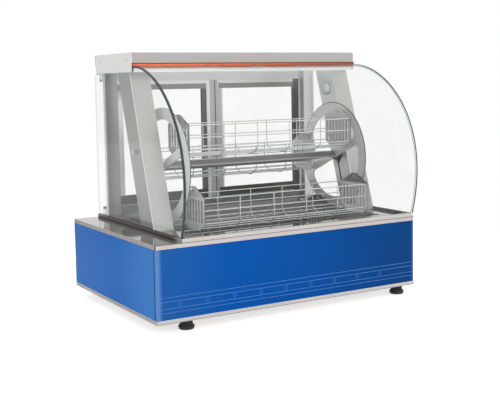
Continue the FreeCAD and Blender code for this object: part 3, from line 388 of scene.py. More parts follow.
def rounded(points, radius, steps=4):
    """A path with a bend in place of each inner corner. The bend starts a radius from the corner."""
    path = [points[0]]
    for before, corner, after in zip(points, points[1:], points[2:]):
        arm_in = (before - corner).normalized() * radius
        arm_out = (after - corner).normalized() * radius
        for step in range(steps + 1):
            t = step / steps
            path.append(corner + arm_in * (1 - t) ** 2 + arm_out * t ** 2)
    return path + [points[-1]]


def add_folded(form, plan, low, high, sheet, bend):
    """Adds a sheet folded along a plan path and standing between two heights. The path
    runs with the outside of the fold on its right."""
    path = rounded([Vector((x, y, low)) for x, y in plan], bend, steps=6)
    verts = [form.verts.new(point) for point in path]
    edges = [form.edges.new(pair) for pair in zip(verts, verts[1:])]
    raised = bmesh.ops.extrude_edge_only(form, edges=edges)["geom"]
    top = [item for item in raised if isinstance(item, bmesh.types.BMVert)]
    bmesh.ops.translate(form, verts=top, vec=(0, 0, high - low))
    form.normal_update()
    bmesh.ops.solidify(form, geom=list(form.faces), thickness=-sheet)


def front_sheet(paint):
    """The front panel wraps round both front corners."""
    low, high = panel_low, panel_high
    form = bmesh.new()
    plan = [(low.x, wrap_end), (low.x, low.y), (high.x, low.y), (high.x, wrap_end)]
    add_folded(form, plan, low.z, high.z, PANEL_SKIN, PANEL_BEND)
    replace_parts(smooth(shaped("front_sheet", form, paint, "case")), "front_panel")


def side_sheet(side, outward, paint):
    """A side panel starts a joint behind the front panel's wrap and is folded in at both ends."""
    low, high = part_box(f"side_panel_{side}")
    face = low.x if outward < 0 else high.x
    front = wrap_end + PANEL_JOINT
    inner = face - outward * SIDE_FOLD
    plan = [(inner, high.y), (face, high.y), (face, front), (inner, front)]
    if outward > 0:
        plan.reverse()
    form = bmesh.new()
    add_folded(form, plan, low.z, high.z, PANEL_SKIN, SIDE_BEND)
    made = smooth(shaped(f"side_sheet_{side}", form, paint, "case"))
    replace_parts(made, f"side_panel_{side}")


# Painted light and shade: the front blue darkens from left to right as painted shade, and the side blue is
# a painted-lit copy of the same paint, paler still towards the front.
FRONT_SHADED_BLUES = shade(30, 95, 174), shade(0, 86, 175), shade(0, 66, 131)
FRONT_SHADE_DRIFTS = [(-0.47, -0.22, FRONT_SHADED_BLUES[1]), (-0.25, 0.52, FRONT_SHADED_BLUES[2])]
SIDE_LIT_BLUES = shade(58, 134, 219), shade(2, 112, 207)
SIDE_LIGHT_DRIFTS = [(-0.31, 0.0, SIDE_LIT_BLUES[1])]
SHADED_BLUE = shade(6, 30, 66)
front_paint = painted("blue_stove_paint", FRONT_SHADED_BLUES[0], "X", FRONT_SHADE_DRIFTS, shade(100, 144, 206))
lit_side_paint = painted("side_stove_paint", SIDE_LIT_BLUES[0], "Y", SIDE_LIGHT_DRIFTS, shade(84, 140, 208))
front_sheet(front_paint)
side_sheet("left", -1, lit_side_paint)
side_sheet("right", 1, lit_side_paint)
dress(lit_side_paint, "rear_panel")
# The corner angles are painted a deep blue as painted shade in the joints between the panels.
dress(painted("corner_stove_paint", SHADED_BLUE, "X", [], SHADED_BLUE), "corner_angles")

RAIL_FOOT = 0.0025
rail_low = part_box("base_pan")[0]


def rail_areas(finish, tone, polish):
    """The folded rail's flanks carry painted shade, and so does its foot, where it turns under."""
    tone = finish.mix(finish.facing("X"), tone, shade(158, 154, 151))
    foot = finish.spot("Z") < rail_low.z + RAIL_FOOT
    return finish.mix(foot, tone, shade(150, 146, 142)), polish


dress(brushed("rail_steel", shade(194, 190, 188), 0.38, areas=rail_areas), "base_pan")


# ---------------------------------------------------------------- front ornament
# Four fine pale lines printed along the front panel in two pairs, with a row of small
# diamonds between the middle two. They are screen printed on the paint.

def print_ink():
    """Pale blue ink, a little worn."""
    finish = Finish(bpy.data.materials.new("pale_ink"))
    wear = finish.noise(500.0, detail=3.0)
    tone = finish.mix(wear.eased(0.35, 0.65), shade(56, 124, 202), shade(88, 150, 216))
    return finish.show(finish.shader({"Base Color": tone, "Roughness": 0.45 + (wear - 0.5) * 0.2}))


INK = 0.0003
LINE_HEIGHTS = (0.0692, 0.0814, 0.1029, 0.1166)
LINE_WIDTH = 0.0013
LINE_INSET = 0.004
DIAMONDS = 9
DIAMOND_START = 0.0776
DIAMOND_PITCH = 0.0960
DIAMOND_REACH = 0.0080
DIAMOND_STROKE = 0.0012


def ornament():
    """The ink stands a hair proud of the panel: lines first, then the outlined diamonds."""
    low, high = panel_low, panel_high
    form = bmesh.new()
    line = Vector((high.x - low.x - 2 * LINE_INSET, INK, LINE_WIDTH))
    for height in LINE_HEIGHTS:
        middle = Vector(((low.x + high.x) / 2, low.y - INK / 2, height))
        place = Matrix.Translation(middle) @ Matrix.Diagonal((*line, 1))
        bmesh.ops.create_cube(form, size=1.0, matrix=place)
    row = (LINE_HEIGHTS[1] + LINE_HEIGHTS[2]) / 2
    upright = Matrix.Rotation(math.radians(90), 4, "X")
    for index in range(DIAMONDS):
        x = low.x + DIAMOND_START + index * DIAMOND_PITCH
        spot = Matrix.Translation((x, low.y - INK, row)) @ upright
        loops = []
        for reach in (DIAMOND_REACH, DIAMOND_REACH - DIAMOND_STROKE):
            ring = bmesh.ops.create_circle(form, segments=4, radius=reach, matrix=spot)["verts"]
            loops += list({edge for vert in ring for edge in vert.link_edges})
        band = bmesh.ops.bridge_loops(form, edges=loops)["faces"]
        raised = bmesh.ops.extrude_face_region(form, geom=band)["geom"]
        back = [item for item in raised if isinstance(item, bmesh.types.BMVert)]
        bmesh.ops.translate(form, verts=back, vec=(0, INK, 0))
    shaped("front_ornament", form, print_ink(), "case")


ornament()


# ---------------------------------------------------------------- feet
# Four levelling feet: a black rubber cup with a rounded tread, turned in one piece
# round a plated steel stem that screws up into the bottom pan.

def rubber():
    """Moulded black rubber under a little dust."""
    finish = Finish(bpy.data.materials.new("black_rubber"))
    dust = finish.noise(90.0, detail=4.0)
    grain = finish.noise(1500.0)
    tone = finish.mix(dust.eased(0.4, 0.75), shade(26, 26, 27), shade(62, 61, 60))
    return finish.show(finish.shader({
        "Base Color": tone,
        "Roughness": 0.62 + (dust - 0.5) * 0.3,
        "Normal": finish.bump(grain, 0.15, 0.0003),
    }))


def add_turned(form, profile, centre, axis, segments=40):
    """Adds a shape turned about an axis through centre from (radius, height) points."""
    axis = Vector(axis)
    across = Vector((1, 0, 0)) if abs(axis.x) < 0.5 else Vector((0, 1, 0))
    centre = Vector(centre)
    verts = [form.verts.new(centre + across * r + axis * h) for r, h in profile]
    edges = [form.edges.new(pair) for pair in zip(verts, verts[1:])]
    bmesh.ops.spin(form, geom=verts + edges, cent=centre, axis=axis, angle=math.tau,
                   steps=segments, use_merge=True)
    bmesh.ops.remove_doubles(form, verts=form.verts, dist=1e-6)


FEET = 4
FOOT_NECK = 0.78


def foot(number, material):
    """One foot, its profile running from the middle of the tread up to the top of the neck."""
    low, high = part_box(f"foot_{number}")
    middle = (low + high) / 2
    tread = (high.x - low.x) / 2
    neck = tread * FOOT_NECK
    profile = [
        (0, 0), (tread * 0.86, 0), (tread * 0.9, 0.0006), (tread * 0.965, 0.003), (tread, 0.006),
        (tread, 0.0098), (tread * 0.985, 0.0112), (neck * 1.08, 0.0148), (neck, 0.018),
        (neck * 0.985, 0.0235), (neck * 0.96, 0.0242), (neck * 0.985, 0.025), (neck, 0.0275),
        (neck, high.z - 0.0012), (neck * 0.97, high.z - 0.0004), (0, high.z - 0.0003),
    ]
    form = bmesh.new()
    add_turned(form, profile, (middle.x, middle.y, 0), (0, 0, 1))
    made = smooth(shaped(f"foot_{number}_rubber", form, material, "case"))
    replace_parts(made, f"foot_{number}")


foot_rubber = rubber()
for number in range(1, FEET + 1):
    foot(number, foot_rubber)


# ---------------------------------------------------------------- worktop and well
# The folded worktop, the raised rim and the deep well with its drip tray are polished
# stainless. Sheathed heating elements lie under the tray.

MIRROR = shade(168, 163, 159)
SHADED_MIRROR = shade(146, 142, 138)
DARK_MIRROR = shade(100, 98, 96)
SHELF_SHADE = (-0.12, -0.26)
MIRROR_POLISH = 0.05
WELL_BORDER = 0.01
well_low, well_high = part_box("well_tub")
well_middle = (well_low.x + well_high.x) / 2
well_reach = (well_high.x - well_low.x) / 2 + WELL_BORDER


def polished_top(finish, tone, polish):
    """Mirror polish on what lies flat, with painted shade darkening it in front and, deeper, round the
    well. What stands up keeps its satin."""
    top = finish.side("Z") > SQUARELY
    beside_well = abs(finish.spot("X") - well_middle) < well_reach
    # Painted shade darkens the mirror towards the front.
    worn = finish.spot("Y").eased(*SHELF_SHADE)
    mirror = finish.mix(beside_well, finish.mix(worn, MIRROR, SHADED_MIRROR), DARK_MIRROR)
    return finish.mix(top, tone, mirror), polish * (1.0 - top) + top * MIRROR_POLISH


SEAM = 0.0016
CORNER_SLIT = 0.007
worktop_low, worktop_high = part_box("worktop")


def deck_areas(finish, tone, polish):
    """The skirts' flanks carry painted shade, a dark slit is painted at the corners where they meet as
    painted shade, and a painted shadow runs along the rim's seam.
    """
    tone, polish = polished_top(finish, tone, polish)
    flank = finish.facing("X")
    corner_slit_shade = flank * (abs(finish.spot("Y")) > abs(worktop_low.y) - CORNER_SLIT)
    tone = finish.mix(flank, tone, shade(152, 146, 141))
    tone = finish.mix(corner_slit_shade, tone, shade(10, 34, 62))
    seam_shadow = finish.facing("Y") * (finish.spot("Z") > worktop_high.z - SEAM)
    return finish.mix(seam_shadow, tone, shade(96, 92, 88)), polish


RIM_FOOT = 0.005
RIM_FRONT = (0.02, 0.07)
rim_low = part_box("rim_frame")[0]


def rim_areas(finish, tone, polish):
    """The rim's flanks carry painted shade behind its front, and a deeper painted shadow along their foot.
    """
    tone, polish = polished_top(finish, tone, polish)
    behind_front = finish.spot("Y").eased(rim_low.y + RIM_FRONT[0], rim_low.y + RIM_FRONT[1])
    flank = finish.facing("X")
    foot = finish.spot("Z") < rim_low.z + RIM_FOOT
    tone = finish.mix(flank * behind_front, tone, shade(112, 106, 101))
    return finish.mix(flank * foot * behind_front, tone, shade(34, 29, 26)), polish


WELL_FALL = (0.25, 0.205)
WELL_SHADE = 0.85


def well_areas(finish, tone, polish):
    """The well's walls carry painted shade that deepens towards its floor."""
    tone, polish = polished_top(finish, tone, polish)
    deep = finish.spot("Z").eased(*WELL_FALL)
    return finish.mix(deep * WELL_SHADE, tone, shade(96, 95, 93)), polish


dress(brushed("deck_steel", shade(200, 194, 190), 0.3, contrast=0.05, areas=deck_areas), "worktop")
dress(brushed("rim_steel", shade(204, 198, 195), 0.3, contrast=0.05, areas=rim_areas), "rim_frame")
dress(brushed("well_steel", shade(196, 195, 192), 0.22, contrast=0.3, areas=well_areas), "well_tub")
dress(brushed("tray_steel", shade(150, 149, 147), 0.26, contrast=0.16), "drip_tray")


def sheath():
    """A heating element's steel sheath, stained brown by its own heat."""
    finish = Finish(bpy.data.materials.new("heater_sheath"))
    heat = finish.noise(35.0, detail=4.0)
    tone = finish.mix(heat.eased(0.35, 0.7), shade(70, 66, 62), shade(112, 98, 84))
    polish = 0.48 + (heat - 0.5) * 0.3
    return finish.show(finish.shader({"Base Color": tone, "Metallic": 0.8, "Roughness": polish}))


dress(sheath(), "heaters")


# ---------------------------------------------------------------- glass
# A bowed front pane and two flat side panes of clear toughened glass, held by polished
# buttons. Their ground edges look green, as light there has crossed the whole sheet.

GLASS_TINT = (0.985, 0.99, 0.987, 1)
GLASS_MIRROR = 0.02
SLANT_MIRROR = 0.7
SMEAR_MIRROR = 0.006


def clear_pane(finish, smear_scale):
    """The broad faces of a pane: clear, with little mirrored when met squarely and more at a
    slant or where it is smeared. It gives the plain clear sheet too."""
    smear = finish.noise(smear_scale, detail=3.0)
    clear = finish.node("BsdfTransparent", sockets={"Color": GLASS_TINT})
    gloss = finish.shader({
        "Base Color": (0.9, 0.93, 0.92, 1),
        "Metallic": 1.0,
        "Roughness": 0.02 + smear.eased(0.5, 0.9) * 0.03,
    })
    slant = finish.node("LayerWeight", sockets={"Blend": 0.5}, output="Facing")
    share = slant.maths("POWER", slant, 5.0) * SLANT_MIRROR + GLASS_MIRROR
    return clear, finish.blend(share + smear.eased(0.45, 0.9) * SMEAR_MIRROR, clear, gloss)


def ground_glass(finish, grit, dark, light, roughness):
    """A ground edge, mottled between two tones by its grit."""
    return finish.shader({
        "Base Color": finish.mix(grit, dark, light),
        "Roughness": roughness + (grit - 0.5) * 0.2,
    })


GREEN_EDGE = shade(13, 40, 33), shade(28, 62, 51)
FAINT_EDGE = shade(44, 80, 70), shade(78, 112, 102)
LIT_REAR_EDGE = shade(214, 220, 218), shade(236, 240, 238)
END_BAND = 0.0064
END_DEPTH = 0.93
FAINT_DEPTH = 0.45
LIT_REAR_DEPTH = 0.3
REAR_EDGE = 0.004
glass_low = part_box("front_glass")[0]
rear_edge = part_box("side_glass_left")[1].y - REAR_EDGE


def bowed_glass():
    """The front pane. Its left edge shows through the pane as a green band, and its right edge
    is fainter."""
    finish = Finish(bpy.data.materials.new("front_pane"))
    pane = clear_pane(finish, 7.0)[1]
    grit = finish.noise(1100.0)
    green = ground_glass(finish, grit, *GREEN_EDGE, 0.25)
    faint = ground_glass(finish, grit, *FAINT_EDGE, 0.3)
    left_band = abs(finish.spot("X") - glass_low.x) < END_BAND
    shown_through = finish.blend(left_band * END_DEPTH, pane, green)
    end = finish.blend(finish.spot("X") > 0.0, green, faint)
    return finish.show(finish.blend(finish.facing("X"), shown_through, end))


def side_glass():
    """Both side panes. The left one's front edge is green, the right one's is fainter, and their rear
    edges are painted pale as painted light from the bright room behind them."""
    finish = Finish(bpy.data.materials.new("side_pane"))
    clear, pane = clear_pane(finish, 7.0)
    grit = finish.noise(1100.0)
    green = ground_glass(finish, grit, *GREEN_EDGE, 0.25)
    faint = finish.blend(FAINT_DEPTH, clear, ground_glass(finish, grit, *FAINT_EDGE, 0.3))
    pale = finish.blend(LIT_REAR_DEPTH, clear, ground_glass(finish, grit, *LIT_REAR_EDGE, 0.3))
    front = finish.blend(finish.spot("X") > 0.0, green, faint)
    edge = finish.blend(finish.spot("Y") > rear_edge, front, pale)
    return finish.show(finish.blend(finish.facing("X"), edge, pane))


dress(bowed_glass(), "front_glass")
dress(side_glass(), "side_glass_left", "side_glass_right")

polished = brushed("polished_fixing", shade(214, 214, 212), 0.16, contrast=0.06)
dress(polished, "glass_fixings")


# ---------------------------------------------------------------- hood
# The canopy over the glass: a brushed stainless shell with pale end plates, a white
# enamelled liner, and a copper coloured clamp strip that holds the pane's top edge.

dress(brushed("hood_steel", shade(190, 185, 183), 0.34, contrast=0.06), "hood_shell")
end_steel = brushed("end_steel", shade(255, 255, 253), 0.42, "y", 0.03, satin=0.85)
dress(end_steel, "hood_end_left", "hood_end_right")


def enamel():
    """White lacquer baked on bright aluminium, which shows through a little as gloss."""
    finish = Finish(bpy.data.materials.new("white_enamel"))
    cloud = finish.noise(9.0, detail=3.0)
    ripple = finish.noise(300.0)
    white = shade(252, 252, 251)
    tone = finish.mix(cloud.eased(0.3, 0.7), scaled(white, 0.95), white)
    return finish.show(finish.shader({
        "Base Color": tone,
        "Metallic": 0.5,
        "Roughness": 0.34 + (cloud - 0.5) * 0.1,
        "Normal": finish.bump(ripple, 0.06, 0.0003),
    }))


dress(enamel(), "hood_liner")

COPPER_GROOVE = 0.50
COPPER_LIP = 0.24
COPPER_QUIRK = 0.80
COPPER_FALL = (-0.35, 0.5)
COPPER_SHADE = 0.75
copper_low, copper_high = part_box("trim_strip")


def copper_areas(finish, tone, polish):
    """Its brow is left bright as a painted highlight between a quirk above and a groove and lip below,
    which carry painted shade, and painted shade dims the whole strip towards its right end."""
    height = (finish.spot("Z") - copper_low.z) / (copper_high.z - copper_low.z)
    tone = finish.mix(height < COPPER_GROOVE, tone, shade(180, 100, 78))
    tone = finish.mix(height < COPPER_LIP, tone, shade(178, 104, 84))
    tone = finish.mix(height > COPPER_QUIRK, tone, shade(132, 72, 56))
    shaded_end = finish.spot("X").eased(*COPPER_FALL) * COPPER_SHADE
    return finish.mix(shaded_end, tone, shade(136, 78, 62)), polish


def moulding(copper):
    """The copper strip: a drawn section with a rounded brow, a groove and a flat lip, given in
    shares of its depth and height."""
    low, high = copper_low, copper_high
    section = [
        (1.0, 1.0), (0.62, 1.0), (0.62, 0.93), (0.22, 0.90), (0.06, 0.80), (0.0, 0.66), (0.02, 0.54),
        (0.14, 0.47), (0.20, 0.44), (0.20, 0.38), (0.12, 0.34), (0.12, 0.06), (0.2, 0.0), (1.0, 0.0),
    ]
    form = bmesh.new()
    deep = high.y - low.y
    tall = high.z - low.z
    verts = [form.verts.new((low.x, low.y + y * deep, low.z + z * tall)) for y, z in section]
    start = form.faces.new(verts)
    run = bmesh.ops.extrude_face_region(form, geom=[start])["geom"]
    far_end = [item for item in run if isinstance(item, bmesh.types.BMVert)]
    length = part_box("hood_shell")[1].x - low.x
    bmesh.ops.translate(form, verts=far_end, vec=(length, 0, 0))
    made = smooth(shaped("copper_moulding", form, copper, "case"), degrees=50)
    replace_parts(made, "trim_strip")


moulding(brushed("copper_strip", shade(246, 128, 94), 0.3, contrast=0.06, areas=copper_areas))

SCREW_RADIUS = 0.0046
SCREW_HEAD = 0.0014
SCREW_CROWN = (0.9, 0.85)
SCREW_DROP = 0.024
SCREW_INSETS = (0.040, 0.032)


def domed(radius, height, crown):
    """The profile of a low domed head, from its middle down. The crown gives its height half
    way out, and how far out it is at half its height, as shares."""
    return [(0, height), (radius * 0.5, height * crown[0]), (radius * crown[1], height * 0.5),
            (radius, 0), (0, 0)]


def hood_screws(side, outward):
    """Two low domed screws in an end plate."""
    low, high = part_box(f"hood_end_{side}")
    face = low.x if outward < 0 else high.x
    profile = domed(SCREW_RADIUS, SCREW_HEAD, SCREW_CROWN)
    form = bmesh.new()
    for y in (low.y + SCREW_INSETS[0], high.y - SCREW_INSETS[1]):
        add_turned(form, profile, (face, y, high.z - SCREW_DROP), (outward, 0, 0), segments=24)
    smooth(shaped(f"hood_screws_{side}", form, polished, "case"))


hood_screws("left", -1)
hood_screws("right", 1)


# ---------------------------------------------------------------- posts and lamps
# Two leaning box posts carry the rotor and the hood, and two upright rear posts carry
# the doors' tracks. Each leaning post has a domed lamp on its inner face.

EDGE_LINE = 0.0022
EDGE_LIGHT = shade(250, 250, 248)
POST_FALL = (0.54, 0.32)
POST_FACE = shade(196, 196, 191)
POST_SHADE = shade(168, 168, 164)
POST_OUTER_SHADES = shade(184, 184, 179), shade(156, 156, 151)
POST_INNER_LIT = shade(240, 240, 236)


def post_areas(node, foot_shade, line_top):
    """A painted highlight runs up the box's left front edge, where it is folded, as far as line_top. The
    outer flank carries painted shade, the inner one, which faces the lit rotor, is painted lit, and
    towards its foot the face fades to a given tone, which is painted shade on the right post."""
    low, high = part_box(node)
    outward = 1 if low.x > 0 else -1

    def areas(finish, tone, polish):
        flank = finish.side("X") * outward
        down = finish.spot("Z").eased(*POST_FALL)
        tone = finish.mix(down, tone, foot_shade)
        tone = finish.mix(flank > SQUARELY, tone, finish.mix(down, *POST_OUTER_SHADES))
        tone = finish.mix(flank < -SQUARELY, tone, POST_INNER_LIT)
        left_edge = (finish.spot("X") < low.x + EDGE_LINE) * (abs(flank) < SQUARELY)
        return finish.mix(left_edge * (finish.spot("Z") < line_top), tone, EDGE_LIGHT), polish
    return areas


REAR_SHADING = (0.008, 0.04)
REAR_HIGHLIGHT = 0.0012


def rear_post_areas(node, outer_side_shade):
    """Painted shade darkens the extruded post's face towards its outer side, a painted highlight runs
    along that edge, and the outer flank is painted lighter.
    """
    low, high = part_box(node)
    outward = 1 if low.x > 0 else -1
    outer_x = high.x if outward > 0 else low.x

    def areas(finish, tone, polish):
        inward = abs(finish.spot("X") - outer_x)
        tone = finish.mix(inward.eased(*REAR_SHADING), outer_side_shade, tone)
        tone = finish.mix(inward < REAR_HIGHLIGHT, tone, shade(236, 236, 234))
        return finish.mix(finish.side("X") * outward > SQUARELY, tone, shade(222, 222, 219)), polish
    return areas


# The left rear post is painted darker and the right one lighter, as painted shade and light.
REAR_LIT_FACES = {"left": shade(184, 184, 181), "right": shade(226, 226, 223)}
REAR_OUTER_SHADES = {"left": shade(150, 150, 147), "right": shade(216, 216, 213)}
for side, foot_shade, line_top in (("left", POST_FACE, 1.0), ("right", POST_SHADE, 0.5)):
    node = f"post_{side}"
    areas = post_areas(node, foot_shade, line_top)
    dress(brushed(f"post_steel_{side}", POST_FACE, 0.34, "z", 0.05, areas=areas), node)
    node = f"rear_post_{side}"
    areas = rear_post_areas(node, REAR_OUTER_SHADES[side])
    dress(brushed(f"rear_steel_{side}", REAR_LIT_FACES[side], 0.36, "z", 0.06, areas=areas), node)
dress(brushed("cover_steel", shade(186, 186, 182), 0.36, "z", 0.06), "post_covers")
dress(polished, "lamp_holders")


def lens():
    """Frosted glass, pressed with a fine grain."""
    finish = Finish(bpy.data.materials.new("frosted_lens"))
    frost = finish.noise(700.0)
    tone = finish.mix(frost, shade(214, 216, 212), shade(240, 240, 236))
    return finish.show(finish.shader({
        "Base Color": tone,
        "Roughness": 0.3 + (frost - 0.5) * 0.2,
        "Subsurface Weight": 0.3,
        "Coat Weight": 0.4,
        "Normal": finish.bump(frost, 0.1, 0.0002),
    }))


dress(lens(), "lamp_domes")


# ---------------------------------------------------------------- rotor
# Two laser cut wheels on a square bar turn the baskets. A gearmotor drives the left
# journal, and a bearing block in the right post holds the other.

BROAD_SIDE = 0.6


def cut_sheet(cut_shade):
    """Sheet cut by laser: its cut edges carry painted shade, darker than its broad sides, which face along
    X.
    """
    def areas(finish, tone, polish):
        return finish.mix(abs(finish.side("X")) < BROAD_SIDE, tone, cut_shade), polish
    return areas


WHEEL_CUT_SHADE = shade(92, 92, 90)
RIM_SHADOW_LINE = 0.0022
wheel_low, wheel_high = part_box("wheel_left")
wheel_centre = (wheel_low + wheel_high) / 2
wheel_radius = (wheel_high.z - wheel_low.z) / 2


def wheel_areas(finish, tone, polish):
    """A painted shadow line runs round the rim, and the cut edges carry painted shade."""
    tone, polish = cut_sheet(WHEEL_CUT_SHADE)(finish, tone, polish)
    beside = finish.spot("Y") - wheel_centre.y
    above = finish.spot("Z") - wheel_centre.z
    reach = beside.maths("SQRT", beside * beside + above * above)
    return finish.mix(reach > wheel_radius - RIM_SHADOW_LINE, tone, shade(84, 84, 82)), polish


BAR_LIT = (0.55, 0.35)
BAR_HIGHLIGHT = 0.92
bar_low, bar_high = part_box("rotor_bar")


def bar_areas(finish, tone, polish):
    """Drawn square bar: its lower half is painted lit and its upper edge carries a thin painted highlight.
    """
    height = (finish.spot("Z") - bar_low.z) / (bar_high.z - bar_low.z)
    tone = finish.mix(height.eased(*BAR_LIT), tone, shade(176, 175, 171))
    return finish.mix(height > BAR_HIGHLIGHT, tone, shade(214, 213, 210)), polish


# The left wheel is dressed in a painted-lit copy of the right one's steel, whiter and more satin.
lit_wheel = brushed("lit_wheel_steel", shade(255, 255, 252), 0.34, "z", 0.05, satin=0.95,
                     areas=cut_sheet(WHEEL_CUT_SHADE))
wheel_steel = brushed("wheel_steel", shade(236, 236, 233), 0.3, "z", 0.06, satin=0.6, areas=wheel_areas)
dress(lit_wheel, "wheel_left")
dress(wheel_steel, "wheel_right")
dress(brushed("bar_steel", shade(122, 121, 118), 0.3, contrast=0.12, areas=bar_areas), "rotor_bar")
dress(polished, "pivot_pins")


def casting():
    """Sand cast aluminium, grey with dust."""
    finish = Finish(bpy.data.materials.new("motor_casting"))
    sand = finish.noise(450.0, detail=4.0)
    dust = finish.noise(30.0, detail=3.0)
    metal = shade(96, 98, 100)
    return finish.show(finish.shader({
        "Base Color": finish.mix(dust.eased(0.35, 0.7), scaled(metal, 0.8), metal),
        "Metallic": 0.5,
        "Roughness": 0.55 + (sand - 0.5) * 0.25,
        "Normal": finish.bump(sand, 0.3, 0.0005),
    }))


dress(casting(), "gearmotor", "bearing_block")


# ---------------------------------------------------------------- baskets
# Each of the four baskets hangs from two pins: slotted end plates of bright steel
# sheet, joined by a trough of round wires welded where they cross.

PLATE = 0.002
PLATE_CUT_SHADE = shade(38, 38, 38)
PLATE_LIGHT_TONES = (196, 235, 150, 255)
GABLE_SHADE_TONES = (222, 190, 30, 84)
GABLE_FADE = (-0.006, 0.004)
LEFT_MOTTLE = 0.55
RIGHT_MOTTLE = 0.2
RIGHT_SHADE = 0.75
APEX_RISE = 0.011
SHOULDER_DROP = 0.022


def plate_areas(node, gable_shade):
    """The plates are bright below. The left one's gable is mottled darker, and the right one's carries
    painted shade of an even tone, darker on some baskets than on others."""
    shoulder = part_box(node)[1].z - APEX_RISE - SHOULDER_DROP

    def areas(finish, tone, polish):
        gable_mottle = finish.noise(190.0, (0.2, 1, 1), 3.0, 0.7).eased(0.46, 0.56)
        gable = finish.spot("Z").eased(shoulder + GABLE_FADE[0], shoulder + GABLE_FADE[1])
        right = finish.spot("X") > 0.0
        tone = finish.mix(gable * gable_mottle * LEFT_MOTTLE, tone, shade(112, 112, 110))
        tone = finish.mix(gable * right * (gable_mottle * RIGHT_MOTTLE + RIGHT_SHADE), tone, gable_shade)
        return cut_sheet(PLATE_CUT_SHADE)(finish, tone, polish)
    return areas


WIRE_RADIUS = 0.0017
WIRE_FACETS = 2
HOOPS = 4
FOLD_DROP = 0.108
BASKET_DROP = 0.132
HALF_WIDTH = 0.078
HALF_FLOOR = 0.044
BEND = 0.006
SIDE_WIRES = (0.02, 0.5, 0.97)
FOLD_WIRES = (0.5,)
FLOOR_WIRES = (0.1, 0.5, 0.9)


def wires(paths):
    """A bmesh of round wires along paths."""
    line = bpy.data.curves.new("wires", "CURVE")
    line.dimensions = "3D"
    line.bevel_depth = WIRE_RADIUS
    line.bevel_resolution = WIRE_FACETS
    line.use_fill_caps = True
    for path in paths:
        spline = line.splines.new("POLY")
        spline.points.add(len(path) - 1)
        for point, spot in zip(spline.points, path):
            point.co = (*spot, 1)
    holder = bpy.data.objects.new("wires", line)
    mesh = bpy.data.meshes.new_from_object(holder)
    form = bmesh.new()
    form.from_mesh(mesh)
    bpy.data.objects.remove(holder)
    bpy.data.meshes.remove(mesh)
    return form


def cage(number):
    """A trough of five sides: hoops bent to its outline, and long wires laid inside them."""
    low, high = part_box(f"basket_{number}_cage")
    plates_low, plates_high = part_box(f"basket_{number}_ends")
    pivot = Vector((0, (plates_low.y + plates_high.y) / 2, plates_high.z - APEX_RISE))
    front = [(-HALF_WIDTH, -SHOULDER_DROP), (-HALF_WIDTH, -FOLD_DROP), (-HALF_FLOOR, -BASKET_DROP)]
    outline = [Vector((0, y, z)) for y, z in front + [(-y, z) for y, z in reversed(front)]]
    hoop = []
    for corner in outline:
        rise = WIRE_RADIUS if corner.z < -(FOLD_DROP + BASKET_DROP) / 2 else 0
        hoop.append(pivot + corner + Vector((0, -math.copysign(WIRE_RADIUS, corner.y), rise)))
    bay = (high.x - low.x) / (HOOPS + 1)
    paths = []
    for index in range(HOOPS):
        along = Vector((low.x + bay * (index + 1), 0, 0))
        paths.append([spot + along for spot in rounded(hoop, BEND)])
    rows = [SIDE_WIRES, FOLD_WIRES, FLOOR_WIRES, FOLD_WIRES, [1 - share for share in SIDE_WIRES]]
    for start, end, row in zip(outline, outline[1:], rows):
        run = end - start
        inward = Vector((0, -run.z, run.y)).normalized() * (3 * WIRE_RADIUS)
        for share in row:
            spot = pivot + start + run * share + inward
            paths.append([spot + Vector((low.x, 0, 0)), spot + Vector((high.x, 0, 0))])
    made = shaped(f"basket_{number}_wires", wires(paths), bright_wire, f"basket_{number}")
    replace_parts(smooth(made, degrees=60), f"basket_{number}_cage")


RIVET_RADIUS = 0.0026
RIVET_HEAD = 0.0012
RIVET_CROWN = (0.88, 0.86)
RIVET_SPREAD = 0.009
RIVET_DROP = 0.006


def rivets(number):
    """Two domed rivets below each hanger hole, with a head on both sides of the plate."""
    low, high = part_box(f"basket_{number}_ends")
    middle = (low.y + high.y) / 2
    height = high.z - APEX_RISE - RIVET_DROP
    profile = domed(RIVET_RADIUS, RIVET_HEAD, RIVET_CROWN)
    form = bmesh.new()
    for face, outward in ((low.x, -1), (low.x + PLATE, 1), (high.x - PLATE, -1), (high.x, 1)):
        for beside in (-RIVET_SPREAD, RIVET_SPREAD):
            add_turned(form, profile, (face, middle + beside, height), (outward, 0, 0), segments=16)
    smooth(shaped(f"basket_{number}_rivets", form, bright_wire, f"basket_{number}"))


bright_wire = brushed("bright_wire", shade(228, 228, 226), 0.2, contrast=0.08)
# Each basket's plates and gables are painted lit or shaded to their own levels.
for number, plate_tone, gable_tone in zip(range(1, 5), PLATE_LIGHT_TONES, GABLE_SHADE_TONES):
    node = f"basket_{number}_ends"
    areas = plate_areas(node, shade(gable_tone, gable_tone, gable_tone - 1))
    bright = shade(plate_tone, plate_tone, plate_tone - 2)
    dress(brushed(f"basket_steel_{number}", bright, 0.2, "z", 0.2, satin=0.85, areas=areas), node)
    cage(number)
    rivets(number)


# ---------------------------------------------------------------- doors
# Two sliding doors close the back: satin aluminium frames with clear panes, running
# in folded channels above and below.

OUTER_STILE = 0.042
MEETING_STILE = 0.068
HIGH_RAIL = 0.038
LOW_RAIL = 0.044
SHADED_BAND_WIDTH = 0.0195
HIGHLIGHT_WIDTH = 0.014
SILL_BAND = 0.033
LIT_EDGE_WIDTH = 0.006
OUTER_LIT = (0.42, 0.38)
OUTER_SHADE = 0.027
MEETING_SHADOW = (0.0135, 0.0095)
BAND_HIGHLIGHT = shade(250, 250, 247)
BAND_SHADE = shade(104, 104, 102)
HEAD_SHADE = shade(150, 150, 147)
DEEP_SHADE = shade(70, 70, 69)


